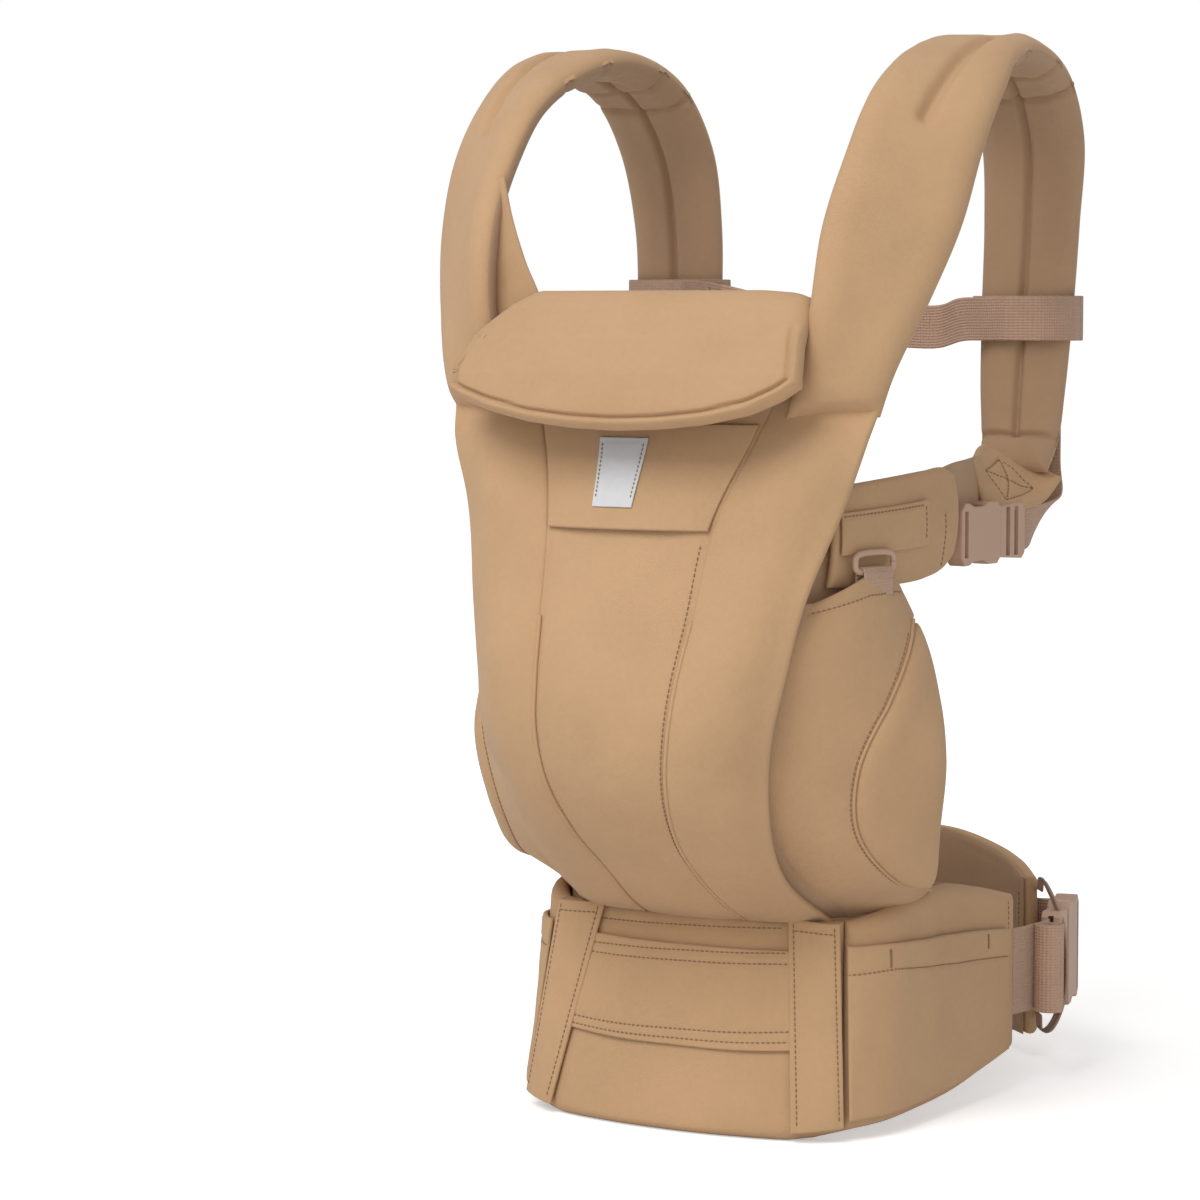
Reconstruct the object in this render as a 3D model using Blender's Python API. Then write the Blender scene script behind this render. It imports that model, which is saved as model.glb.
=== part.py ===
"""A soft baby carrier: padded waist belt, seat pouch, shoulder straps, head support and buckles.

Metres, +Z up, the wearer behind the panel at +Y, the origin under the middle of the whole carrier.
Soft pieces are slabs on smooth surfaces through a few stations; hard pieces are bevelled boxes with
Boolean cuts. Neighbours keep a small gap.
"""

import math

import bmesh
import bpy
import numpy as np
from mathutils import Matrix, Vector

GAP = 0.0003  # between pieces that touch
FABRIC = 0.0015  # sewn cover, folded hem included
FLOOR = 0.0125  # height in the design frame of the surface that the belt stands on
SHIFT = (0.0, -0.0989, -FLOOR)  # moves the design frame (belt front at y = 0) to the middle of the carrier
BELT_MIDDLE = (0.0, 0.13, 0.08)  # a point inside the waist loop
BELT_CORE = 0.0045  # half the foam thickness of the belt
STRAP_CORE = 0.0068
THIGH_FOAM = 0.0055
STIFFENER = 0.0012
PATCH = 0.0012  # a sewn-on layer
ACROSS = (0.0, 0.05, 0.22, 0.5, 0.78, 0.95, 1.0)  # shares of a padded piece's width, close at its seams
WAIST_WEBBING = 0.050
WEBBING = 0.025
WEBBING_THICK = 0.0014

CANVAS = (0.60, 0.40, 0.22)
CANVAS_SHADE = (0.50, 0.33, 0.18)
FOAM = (0.82, 0.80, 0.74)
NARROW_FABRIC = (0.52, 0.33, 0.22)
PLASTIC = (0.50, 0.31, 0.21)

# Waist belt stations, right half from the front centre back to the arm end: (top edge, bottom edge)
BELT_RIGHT = [
    ((0.0, 0.003, 0.127), (0.0, -0.034, 0.0125)),
    ((0.030, 0.0045, 0.127), (0.040, -0.031, 0.0125)),
    ((0.060, 0.0085, 0.127), (0.0770, -0.0215, 0.0155)),
    ((0.087, 0.0100, 0.127), (0.0965, -0.0070, 0.0180)),
    ((0.1025, 0.0260, 0.131), (0.1075, 0.0160, 0.0188)),
    ((0.1090, 0.0550, 0.1355), (0.1120, 0.0550, 0.0200)),
    ((0.1125, 0.0890, 0.1375), (0.1145, 0.0940, 0.0225)),
    ((0.1160, 0.1280, 0.131), (0.117, 0.130, 0.0285)),
    ((0.119, 0.165, 0.1225), (0.119, 0.165, 0.0355)),
]
# The rear section, from the left hip round the back to its free end at the right
BELT_REAR = [
    ((-0.119, 0.168, 0.1225), (-0.119, 0.168, 0.0355)),
    ((-0.117, 0.205, 0.126), (-0.118, 0.205, 0.0280)),
    ((-0.104, 0.245, 0.132), (-0.106, 0.247, 0.0200)),
    ((-0.065, 0.282, 0.137), (-0.067, 0.286, 0.0140)),
    ((-0.020, 0.297, 0.139), (-0.020, 0.301, 0.0125)),
    ((0.020, 0.2955, 0.139), (0.020, 0.299, 0.0125)),
    ((0.055, 0.281, 0.134), (0.056, 0.283, 0.0210)),
    ((0.083, 0.262, 0.127), (0.084, 0.263, 0.0260)),
    ((0.098, 0.247, 0.120), (0.0985, 0.2475, 0.0270)),
]
# Right shoulder strap, from the wing over the shoulder to its lower rear end: (inner edge, outer edge)
STRAP = [
    ((0.0860, -0.0480, 0.4105), (0.1325, -0.0315, 0.4125)),
    ((0.0955, -0.0510, 0.4500), (0.1450, -0.0140, 0.4530)),
    ((0.0985, -0.0440, 0.4900), (0.1545, 0.0035, 0.4910)),
    ((0.1000, -0.0210, 0.5280), (0.1580, 0.0230, 0.5320)),
    ((0.0990, 0.0090, 0.5600), (0.1580, 0.0480, 0.5620)),
    ((0.0960, 0.0560, 0.5820), (0.1560, 0.0740, 0.5820)),
    ((0.0930, 0.1100, 0.5890), (0.1530, 0.1140, 0.5870)),
    ((0.0890, 0.1570, 0.5740), (0.1500, 0.1580, 0.5730)),
    ((0.0862, 0.1830, 0.5410), (0.1470, 0.1830, 0.5420)),
    ((0.0845, 0.1905, 0.4980), (0.1415, 0.1905, 0.4980)),
    ((0.0838, 0.1895, 0.4500), (0.1385, 0.1895, 0.4500)),
    ((0.0838, 0.1885, 0.4050), (0.1345, 0.1885, 0.4050)),
    ((0.0875, 0.1820, 0.3780), (0.1335, 0.1820, 0.3780)),
    ((0.0925, 0.1690, 0.3605), (0.1325, 0.1690, 0.3605)),
]
# Front panel seam on the right, top to bottom
SEAM = [
    (0.0880, -0.0290, 0.452),
    (0.0766, -0.0370, 0.420),
    (0.0644, -0.0450, 0.387),
    (0.0489, -0.0669, 0.338),
    (0.0444, -0.0820, 0.290),
    (0.0407, -0.0931, 0.256),
    (0.0390, -0.0968, 0.235),
    (0.0354, -0.0929, 0.2075),
    (0.0305, -0.0745, 0.180),
    (0.0276, -0.0466, 0.157),
    (0.0305, 0.0000, 0.1300),
]
WING_SEAM_TOP = (0.0722, -0.0400, 0.4070)
# Outer edge of the right side wing, top to bottom, one station for each of the seam's from its second on
WING_EDGE = [
    (0.1330, -0.0300, 0.4085),
    (0.1236, -0.0378, 0.384),
    (0.1119, -0.0423, 0.350),
    (0.0963, -0.0605, 0.295),
    (0.0895, -0.0665, 0.260),
    (0.0845, -0.0705, 0.232),
    (0.0780, -0.0620, 0.204),
    (0.0735, -0.0470, 0.174),
    (0.0705, -0.0235, 0.151),
    (0.0760, 0.0120, 0.1310),
]
# Right seat side piece, top to bottom: (front edge behind the wing, rear edge at the leg opening)
SEAT_SIDE = [
    ((0.0945, -0.0480, 0.3000), (0.1105, 0.0180, 0.3010)),
    ((0.0905, -0.0560, 0.2850), (0.1215, 0.0220, 0.2850)),
    ((0.0820, -0.0610, 0.2450), (0.1320, 0.0290, 0.2450)),
    ((0.0755, -0.0580, 0.2140), (0.1366, 0.0273, 0.2140)),
    ((0.0700, -0.0410, 0.1770), (0.1326, 0.0293, 0.1770)),
    ((0.0690, -0.0080, 0.1500), (0.1270, 0.0380, 0.1520)),
    ((0.0800, 0.0200, 0.1330), (0.1080, 0.0720, 0.1410)),
]
# Right upper side band, front to rear: (x, y, bottom, top)
SIDE_BAND = [
    (0.0975, -0.0340, 0.3070, 0.3585),
    (0.1040, -0.0100, 0.3060, 0.3605),
    (0.1110, 0.0200, 0.3060, 0.3630),
    (0.1150, 0.0460, 0.3080, 0.3650),
    (0.1172, 0.0620, 0.3120, 0.3660),
    (0.1185, 0.0740, 0.3200, 0.3620),
]
# Tongue from inside the band back to the strap's lower end: (lower edge, upper edge)
TONGUE = [
    ((0.1060, 0.0380, 0.3400), (0.1060, 0.0380, 0.3600)),
    ((0.1085, 0.0800, 0.3440), (0.1065, 0.0800, 0.3660)),
    ((0.1130, 0.1200, 0.3480), (0.1040, 0.1200, 0.3690)),
    ((0.1210, 0.1500, 0.3500), (0.1000, 0.1510, 0.3620)),
]
HEAD_PAD = [  # right half, top to bottom: (half width, y, z) on the pad's middle surface
    (0.0850, -0.0340, 0.4540),
    (0.0910, -0.0500, 0.4480),
    (0.1000, -0.0640, 0.4320),
    (0.1040, -0.0700, 0.4130),
    (0.0880, -0.0720, 0.4000),
    (0.0500, -0.0730, 0.3925),
]
BUCKLE_START = (0.1172, 0.0790, 0.3290)  # rear of the right shoulder socket
BUCKLE_WAY = (0.143, 0.990, 0.0)
CHEST_HEIGHT = 0.4405  # of the buckle
CHEST_LOOPS = {"right": 0.4450, "left": 0.4550}
CHEST_MOUTH = 0.0175
CHEST_SOCKET = 0.0290
CHEST_BASE = 0.0240
CHEST_TRAVEL = 0.0180
CHEST_Y = 0.1890
ARM_HALF = 0.0017  # half the thickness of a plug's arms
TUNNEL_HALF = 0.0016  # half the height of the webbing's way through a plug
LOOP_INNER = (0.0790, 0.1450)  # the chest loop's clear width, in x
LOOP_DEPTH = 0.0145  # half its clear depth, in y
WAIST_HINGE = (-0.1195, 0.1665, 0.080)
WAIST_MOUTH = (0.1180, 0.2260, 0.0790)  # where the plug meets its socket
WAIST_ROLL = (0.1310, 0.1800, 0.0790)
SAFETY_LOOP = [
    (0.1000, 0.2460, 0.1120),
    (0.1080, 0.2330, 0.1210),
    (0.1200, 0.2230, 0.1170),
    (0.1330, 0.2160, 0.1020),
    (0.1370, 0.2130, 0.0790),
    (0.1330, 0.2160, 0.0560),
    (0.1200, 0.2230, 0.0390),
    (0.1080, 0.2330, 0.0330),
    (0.1000, 0.2460, 0.0380),
]


BELT_LEFT = [((-t[0], t[1], t[2]), (-b[0], b[1], b[2])) for t, b in reversed(BELT_RIGHT[1:])]
BELT_LOOP = BELT_LEFT + BELT_RIGHT
TAB_OUTER = 5  # the station of BELT_LOOP at the left seat tab's outer edge


def mirrored(point, side):
    return (point[0] * side, point[1], point[2])


def smooth(stations, start, stop, count):
    """Points of a smooth curve through the stations, evenly spaced in station number."""
    knots = np.array(stations, float)
    flat = knots.reshape(len(knots), -1)
    gaps = np.linalg.norm(np.diff(flat, axis=0), axis=1)
    slopes = np.diff(flat, axis=0) / gaps[:, None]
    tangents = np.vstack(
        [
            slopes[:1],
            (slopes[:-1] * gaps[1:, None] + slopes[1:] * gaps[:-1, None])
            / (gaps[1:] + gaps[:-1])[:, None],
            slopes[-1:],
        ]
    )
    points = []
    for at in np.linspace(start, stop, count):
        i = min(int(at), len(gaps) - 1)
        t = at - i
        a = 2 * t**3 - 3 * t**2 + 1
        b = t**3 - 2 * t**2 + t
        c = t**3 - t**2
        points.append(
            a * flat[i] + b * gaps[i] * tangents[i] + (1 - a) * flat[i + 1] + c * gaps[i] * tangents[i + 1]
        )
    return np.array(points).reshape((count,) + knots.shape[1:])


def ruled(edges, across, bulge=0.0, way=(0, 0, 0)):
    """A grid between two edges (count, 2, 3) at these shares of the way, or at this many even ones."""
    share = np.linspace(0, 1, across) if isinstance(across, int) else np.array(across)
    low, high = edges[:, 0], edges[:, 1]
    grid = low[:, None] * (1 - share)[None, :, None] + high[:, None] * share[None, :, None]
    bow = 4 * share * (1 - share) * bulge
    return grid + bow[None, :, None] * np.array(way, float)


def facing(grid, outward, along=None):
    """The unit normals of a grid, on the side that outward points to."""
    along = np.gradient(grid, axis=0) if along is None else along
    normals = np.cross(along, np.gradient(grid, axis=1))
    normals /= np.linalg.norm(normals, axis=2, keepdims=True)
    return normals * (1 if np.sum(normals * outward, axis=2).mean() > 0 else -1)


def sheet(grid, outward):
    """A grid of points with its normals; outward is one direction, or one for each point."""
    return grid, facing(grid, np.array(outward, float))


def raised(face, offset):
    """The sheet moved along its normals."""
    return face[0] + face[1] * offset, face[1]


def material(name, colour, roughness, metallic=0.0):
    made = bpy.data.materials.new(name)
    made.use_nodes = True
    shader = made.node_tree.nodes["Principled BSDF"]
    shader.inputs["Base Color"].default_value = (*colour, 1)
    shader.inputs["Roughness"].default_value = roughness
    shader.inputs["Metallic"].default_value = metallic
    return made


def new_object(name, mesh, colour, roughness, pivot=(0, 0, 0)):
    """Puts the mesh, drawn in the design frame, in the scene with its origin at the pivot."""
    mesh.transform(Matrix.Translation(-Vector(pivot)))
    mesh.shade_smooth()
    mesh.set_sharp_from_angle(angle=math.radians(35))
    mesh.materials.append(material(name, colour, roughness))
    made = bpy.data.objects.new(name, mesh)
    made.location = Vector(pivot) + Vector(SHIFT)
    bpy.context.scene.collection.objects.link(made)
    return made


def slab(name, face, low, high, colour=CANVAS, roughness=0.9, pivot=(0, 0, 0)):
    """A closed piece between two offsets from a sheet, along its normals."""
    grid, normals = face
    rows, cols = grid.shape[:2]
    build = bmesh.new()
    layers = []
    for offset in (low, high):
        offset = np.broadcast_to(np.asarray(offset, float), (rows, cols))
        points = grid + normals * offset[:, :, None]
        points[:, :, 2] = np.maximum(points[:, :, 2], FLOOR)  # the belt stands on a flat edge
        layers.append([[build.verts.new(p) for p in row] for row in points])
    for layer in layers:
        for i in range(rows - 1):
            for j in range(cols - 1):
                build.faces.new((layer[i][j], layer[i + 1][j], layer[i + 1][j + 1], layer[i][j + 1]))
    rim = [(i, 0) for i in range(rows)] + [(rows - 1, j) for j in range(1, cols)]
    rim += [(i, cols - 1) for i in range(rows - 2, -1, -1)] + [(0, j) for j in range(cols - 2, 0, -1)]
    for (i, j), (k, m) in zip(rim, rim[1:] + rim[:1]):
        build.faces.new((layers[0][i][j], layers[0][k][m], layers[1][k][m], layers[1][i][j]))
    bmesh.ops.recalc_face_normals(build, faces=build.faces)
    mesh = bpy.data.meshes.new(name)
    build.to_mesh(mesh)
    build.free()
    return new_object(name, mesh, colour, roughness, pivot)


def swell(rows, across, half, ends=0.12):
    """Half thickness of a foam core over a grid: full in the middle, nothing at its sewn edges."""
    across = np.array(across)
    along = np.linspace(0, 1, rows)
    side = np.sqrt(np.clip(1 - np.abs(2 * across - 1) ** 4, 0, 1))
    tip = np.clip(np.minimum(along, 1 - along) / ends, 0, 1) ** 0.5 if ends else np.ones(rows)
    return half * tip[:, None] * side[None, :]


def padded(prefix, face, across, half, ends=0.12, lining=True, stiffener=False, pivot=(0, 0, 0)):
    """A cover and, where wanted, a lining that are sewn together round a foam core."""
    core = swell(len(face[0]), across, half, ends)
    near, far = core + GAP / 2, core + GAP / 2 + FABRIC
    slab(prefix + "_cover", face, near, far, pivot=pivot)
    if lining:
        slab(prefix + "_lining", face, -far, -near, CANVAS_SHADE, pivot=pivot)
    part = (slice(1, -1), slice(1, -1))
    inner = (face[0][part], face[1][part])
    thick = core[part] - GAP / 2
    if stiffener:
        slab(prefix + "_stiffener", inner, -thick, -thick + STIFFENER, FOAM, 0.6, pivot)
        slab(prefix + "_foam", inner, -thick + STIFFENER + GAP, thick, FOAM, pivot=pivot)
    else:
        slab(prefix + "_foam", inner, -thick, thick, FOAM, pivot=pivot)


def resample(grid, share_u, share_v):
    """The grid read at other shares of its length and width, linearly."""
    rows, cols = grid.shape[:2]
    at_u, at_v = share_u * (rows - 1), share_v * (cols - 1)
    i = np.minimum(at_u.astype(int), rows - 2)
    j = np.minimum(at_v.astype(int), cols - 2)
    s, t = (at_u - i)[:, None, None], (at_v - j)[None, :, None]
    near = grid[i][:, j] * (1 - t) + grid[i][:, j + 1] * t
    far = grid[i + 1][:, j] * (1 - t) + grid[i + 1][:, j + 1] * t
    return near * (1 - s) + far * s


def frame_at(origin, way, up):
    """Local axes: x along way, y along up made square to it, z square to both."""
    x = Vector(way).normalized()
    z = x.cross(Vector(up)).normalized()
    y = z.cross(x)
    turn = Matrix((x, y, z)).transposed().to_4x4()
    return Matrix.Translation(Vector(origin)) @ turn


def plate_mesh(name, outline, low, high, place, bevel=0.0):
    """An outline in local x and y, extruded from z low to z high, its long edges rounded."""
    build = bmesh.new()
    floor = [build.verts.new((x, y, low)) for x, y in outline]
    face = build.faces.new(floor)
    raised = bmesh.ops.extrude_face_region(build, geom=[face])["geom"]
    lifted = [v for v in raised if isinstance(v, bmesh.types.BMVert)]
    bmesh.ops.translate(build, vec=(0, 0, high - low), verts=lifted)
    bmesh.ops.recalc_face_normals(build, faces=build.faces)
    if bevel:
        rims = [e for e in build.edges if abs(e.verts[0].co.z - e.verts[1].co.z) < 1e-7]
        bmesh.ops.bevel(build, geom=rims, offset=bevel, segments=2, profile=0.6, affect="EDGES")
    mesh = bpy.data.meshes.new(name)
    build.to_mesh(mesh)
    build.free()
    mesh.transform(place)
    return mesh


def rectangle(x_low, x_high, half_width, corner=0.0):
    if not corner:
        return [(x_low, -half_width), (x_high, -half_width), (x_high, half_width), (x_low, half_width)]
    points = []
    centres = [
        (x_high - corner, -half_width + corner, -90),
        (x_high - corner, half_width - corner, 0),
        (x_low + corner, half_width - corner, 90),
        (x_low + corner, -half_width + corner, 180),
    ]
    for x, y, start in centres:
        for step in range(3):
            turn = math.radians(start + 45 * step)
            points.append((x + corner * math.cos(turn), y + corner * math.sin(turn)))
    return points


def helper(name, mesh):
    made = bpy.data.objects.new(name, mesh)
    made.location = Vector(SHIFT)
    made.hide_render = True
    made.display_type = "WIRE"
    bpy.context.scene.collection.objects.link(made)
    return made


def combine(target, other, operation):
    step = target.modifiers.new(other.name, "BOOLEAN")
    step.operation = operation
    step.object = other
    step.solver = "EXACT"


def cut(target, name, outline, low, high, place, operation="DIFFERENCE"):
    combine(target, helper(name, plate_mesh(name, outline, low, high, place)), operation)


def buckle_socket(name, mouth, way, up, width, length, thick, pivot=(0, 0, 0)):
    """The side-release socket: open at its mouth, a window in each side, a slot for its own webbing."""
    place = frame_at(mouth, way, up)
    half = width / 2
    outline = [
        (0, -half + 0.003),
        (0, half - 0.003),
        (-0.003, half),
        (-0.30 * length, half),
        (-0.42 * length, half - 0.0022),
        (-0.66 * length, half - 0.0022),
        (-0.80 * length, half),
        (-length + 0.004, half),
        (-length, half - 0.004),
        (-length, -half + 0.004),
        (-length + 0.004, -half),
        (-0.80 * length, -half),
        (-0.66 * length, -half + 0.0022),
        (-0.42 * length, -half + 0.0022),
        (-0.30 * length, -half),
        (-0.003, -half),
    ]
    mesh = plate_mesh(name, outline, -thick / 2, thick / 2, place, 0.0012)
    made = new_object(name, mesh, PLASTIC, 0.45, pivot)
    wall = 0.0032
    side = half + 0.01
    hollow = [
        (0.01, -half + wall),
        (0.01, half - wall),
        (-0.38 * length, half - wall),
        (-0.38 * length, side),
        (-0.64 * length, side),
        (-0.64 * length, half - wall - 0.002),
        (-0.70 * length, half - wall - 0.002),
        (-0.70 * length, -half + wall + 0.002),
        (-0.64 * length, -half + wall + 0.002),
        (-0.64 * length, -side),
        (-0.38 * length, -side),
        (-0.38 * length, -half + wall),
    ]
    deep = thick / 2 - 0.0018
    slot = rectangle(-length + 0.003, -length + 0.0065, half - 0.0045)
    cut(made, name + "_hollow", hollow, -deep, deep, place)
    cut(made, name + "_slot", slot, -0.02, 0.02, place)


def buckle_plug(name, mouth, way, up, width, base, reach, thick, webbing, pivot=(0, 0, 0)):
    """The plug: a ladder base outside the socket and, inside it, two barbed arms and a guide."""
    place = frame_at(mouth, way, up)
    half = width / 2
    start = 0.0005
    outline = [
        (start, -half + 0.003),
        (start + base - 0.003, -half + 0.0015),
        (start + base, -half + 0.0045),
        (start + base, half - 0.0045),
        (start + base - 0.003, half - 0.0015),
        (start, half - 0.003),
    ]
    mesh = plate_mesh(name, outline, -thick / 2 + 0.0008, thick / 2 - 0.0008, place, 0.0012)
    made = new_object(name, mesh, PLASTIC, 0.45, pivot)
    outer, inner = half - 0.0045, half - 0.0085
    root = start + 0.0012
    arms = [
        (root, -outer),
        (root, outer),
        (-0.60 * reach, outer),
        (-reach + 0.001, outer - 0.001),
        (-reach, inner + 0.001),
        (-0.62 * reach, inner),
        (-0.002, inner),
        (-0.002, 0.0025),
        (-0.80 * reach, 0.0018),
        (-0.80 * reach, -0.0018),
        (-0.002, -0.0025),
        (-0.002, -inner),
        (-0.62 * reach, -inner),
        (-reach, -inner - 0.001),
        (-reach + 0.001, -outer + 0.001),
        (-0.60 * reach, -outer),
    ]
    cut(made, name + "_arms", arms, -ARM_HALF, ARM_HALF, place, "UNION")
    tunnel = rectangle(0.0022, base + 0.02, webbing / 2 + 0.0012)
    cut(made, name + "_tunnel", tunnel, -TUNNEL_HALF, TUNNEL_HALF, place)
    for number, share in enumerate((0.34, 0.66)):
        slot = rectangle(base * share - 0.002, base * share + 0.002, webbing / 2 + 0.0008)
        cut(made, f"{name}_ladder_{number}", slot, 0.0, 0.02, place)


def ribbon(name, path, width, thick, steps=3, pivot=(0, 0, 0)):
    """Webbing along a path of (centre, width direction) stations."""
    centres = np.array([centre for centre, _ in path], float)
    across = np.array([way for _, way in path], float)
    across *= width / 2 / np.linalg.norm(across, axis=1, keepdims=True)
    edges = np.stack([centres - across, centres + across], axis=1)
    grid = ruled(smooth(edges, 0, len(path) - 1, steps * (len(path) - 1) + 1), 2)
    return slab(name, sheet(grid, (0, 0, 0)), -thick / 2, thick / 2, NARROW_FABRIC, 0.75, pivot)


def belt_sheet(stations, start, stop, count, across=ACROSS):
    """The belt's outer face between two station numbers, with normals that agree at shared seams."""
    step = 0.02
    low, high = max(start - step, 0), min(stop + step, len(stations) - 1)
    here = ruled(smooth(stations, start, stop, count), across)
    before = ruled(smooth(stations, low, stop - step, count), across)
    after = ruled(smooth(stations, start + step, high, count), across)
    return here, facing(here, here - np.array(BELT_MIDDLE), after - before)


def belt():
    inward = -(BELT_CORE + GAP / 2 + FABRIC)
    last = len(BELT_LOOP) - 1
    seam = 0.012
    spans = {
        "belt_front": (TAB_OUTER + seam, last - TAB_OUTER - seam, 17),
        "belt_right_hip": (last - TAB_OUTER + seam, last, 13),
        "belt_left_hip": (0, TAB_OUTER - seam, 13),
    }
    for prefix, (start, stop, count) in spans.items():
        face = raised(belt_sheet(BELT_LOOP, start, stop, count), inward)
        padded(prefix, face, ACROSS, BELT_CORE, 0.1, lining=False)
    share = np.linspace(0.025, 0.975, 5)
    whole = raised(belt_sheet(BELT_LOOP, 0, last, 27, share), inward)
    under = swell(27, share, BELT_CORE, ends=0.0) + 4 * GAP
    slab("belt_lining", whole, -under - FABRIC, -under, CANVAS_SHADE)
    rear = raised(belt_sheet(BELT_REAR, 0, len(BELT_REAR) - 1, 19), inward)
    padded("belt_rear", rear, ACROSS, BELT_CORE, 0.1, stiffener=True, pivot=WAIST_HINGE)


def trim_on_belt():
    """What is sewn on the belt's outer face: seat width patch, seat tabs and hip pockets."""
    spans = {
        "seat_patch": (6.06, 9.94, 13, 0.05, 0.52),
        "seat_tab_right": (10.0, 10.94, 5, 0.03, 0.97),
        "seat_tab_left": (5.06, 6.0, 5, 0.03, 0.97),
        "hip_pocket_right": (11.1, 15.4, 11, 0.22, 0.94),
        "hip_pocket_left": (0.6, 4.9, 11, 0.22, 0.94),
    }
    for name, (start, stop, count, top, bottom) in spans.items():
        face = belt_sheet(BELT_LOOP, start, stop, count, np.linspace(top, bottom, 4))
        slab(name, face, 2 * GAP, 2 * GAP + PATCH)


def front_panel():
    seam = smooth(SEAM, 0, len(SEAM) - 1, 19)
    left = seam * np.array((-1, 1, 1))
    grid = ruled(np.stack([left, seam], axis=1), 5, 0.006, (0, -1, 0.0))
    slab("front_panel", sheet(grid, (0, -1, 0.1)), -0.0025, 0.0)


def side_wings(side, name):
    seam = smooth([WING_SEAM_TOP] + SEAM[2:], 0, len(WING_EDGE) - 1, 17)
    edge = smooth(WING_EDGE, 0, len(WING_EDGE) - 1, 17)
    seam = seam + np.array((0.0009, 0, 0))
    grid = ruled(np.stack([seam, edge], axis=1), 5, 0.009, (0.55, -0.8, 0.1))
    grid = grid * np.array((side, 1, 1))
    slab("side_wing_" + name, sheet(grid, (side * 0.5, -1, 0.1)), -0.004, 0.0)


def strap(side, name):
    stations = np.array(STRAP, float) * np.array((side, 1, 1))
    across = (0.0, 0.07, 0.3, 0.7, 0.93, 1.0)
    grid = ruled(smooth(stations, 0, len(STRAP) - 1, 23), across)
    middle = np.array((side * 0.12, 0.08, 0.43))
    padded("strap_" + name, sheet(grid, grid - middle), across, STRAP_CORE, ends=0.05)


def seat_side(side, name):
    """The gusset behind the wing and, at the leg opening, the lens-shaped thigh pad sewn to it."""
    rows = 15
    stations = np.array(SEAT_SIDE, float) * np.array((side, 1, 1))
    way = np.array((side * 0.8, -0.6, 0.0))
    whole = ruled(smooth(stations, 0, len(SEAT_SIDE) - 1, rows), 13, 0.012, way)
    along = np.linspace(0, 1, rows)
    lens = np.sin(np.pi * np.clip((along - 0.13) / 0.73, 0, 1)) ** 0.8
    seam = 1 - 0.46 * lens  # the share of the width where the pad's curved seam runs

    def strip(row, start, stop):
        across = np.linspace(start, stop, 5)
        return resample(whole, np.array([row / (rows - 1)]), across)[0]

    gusset = np.array([strip(i, 0, seam[i]) for i in range(rows)])
    slab("seat_side_" + name, sheet(gusset, way), -0.0012, 0.0012)
    pad = np.array([strip(i, seam[i] + 0.02, 1) for i in range(rows) if seam[i] < 0.93])
    half = np.maximum(swell(len(pad), np.linspace(0, 1, 5), THIGH_FOAM, ends=0.2), 0.0012)
    slab("thigh_pad_" + name, sheet(pad, way), -half, half)


def side_band(side, name):
    stations = [((x, y, low), (x, y, top)) for x, y, low, top in SIDE_BAND]
    edges = smooth(np.array(stations, float) * np.array((side, 1, 1)), 0, len(SIDE_BAND) - 1, 11)
    grid = ruled(edges, 5, 0.003, (side, 0, 0))
    slab("side_band_" + name, sheet(grid, (side, 0, 0)), -0.0022, 0.0022)
    flap = resample(grid, np.linspace(0.06, 0.5, 5), np.linspace(0.38, 0.68, 3))
    slab("band_flap_" + name, sheet(flap, (side, 0, 0)), 0.0027, 0.0040)
    tongue = ruled(smooth(np.array(TONGUE, float) * np.array((side, 1, 1)), 0, len(TONGUE) - 1, 10), 3)
    slab("strap_tongue_" + name, sheet(tongue, (side, 0, 0.5)), -0.0010, 0.0010)


def seat_ring(side, name):
    way = (side * 0.23, 0.973, 0.0)
    middle = (side * 0.1150, 0.0020, 0.3185)
    place = frame_at(middle, way, (0, 0, 1))
    rim = rectangle(-0.022, 0.022, 0.0065, 0.003)
    mesh = plate_mesh("seat_ring_" + name, rim, -0.0014, 0.0014, place, 0.0005)
    ring = new_object("seat_ring_" + name, mesh, PLASTIC, 0.45)
    cut(ring, "ring_hole_" + name, rectangle(-0.0185, 0.0185, 0.0035), -0.01, 0.01, place)
    strip = [((side * 0.1125, 0.0020, z), way) for z in (0.3030, 0.3090, 0.3150)]
    ribbon("ring_tab_" + name, strip, 0.030, 0.0010)


def shoulder_buckle(side, name):
    start = Vector(mirrored(BUCKLE_START, side))
    way = Vector(mirrored(BUCKLE_WAY, side)).normalized()
    length, base = 0.039, 0.026
    mouth = start + way * length
    buckle_socket("shoulder_socket_" + name, mouth, way, (0, 0, 1), 0.034, length, 0.011)
    plug = (0.034, base, 0.0185, 0.011, WEBBING)
    buckle_plug("shoulder_plug_" + name, mouth, way, (0, 0, 1), *plug, mouth)
    path = [(mouth + way * reach, (0, 0, 1)) for reach in (0.0230, 0.0330, 0.0430, 0.0480)]
    path += [
        ((side * 0.1260, 0.1880, 0.3360), (side * 0.45, 0, 0.9)),
        ((side * 0.1195, 0.2010, 0.3540), (side * 0.9, 0, 0.45)),
        ((side * 0.1140, 0.2015, 0.3800), (side, 0, 0.05)),
        ((side * 0.1115, 0.1990, 0.4040), (side, 0, 0)),
    ]
    ribbon("shoulder_webbing_" + name, path, WEBBING, WEBBING_THICK, 2)


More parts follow.
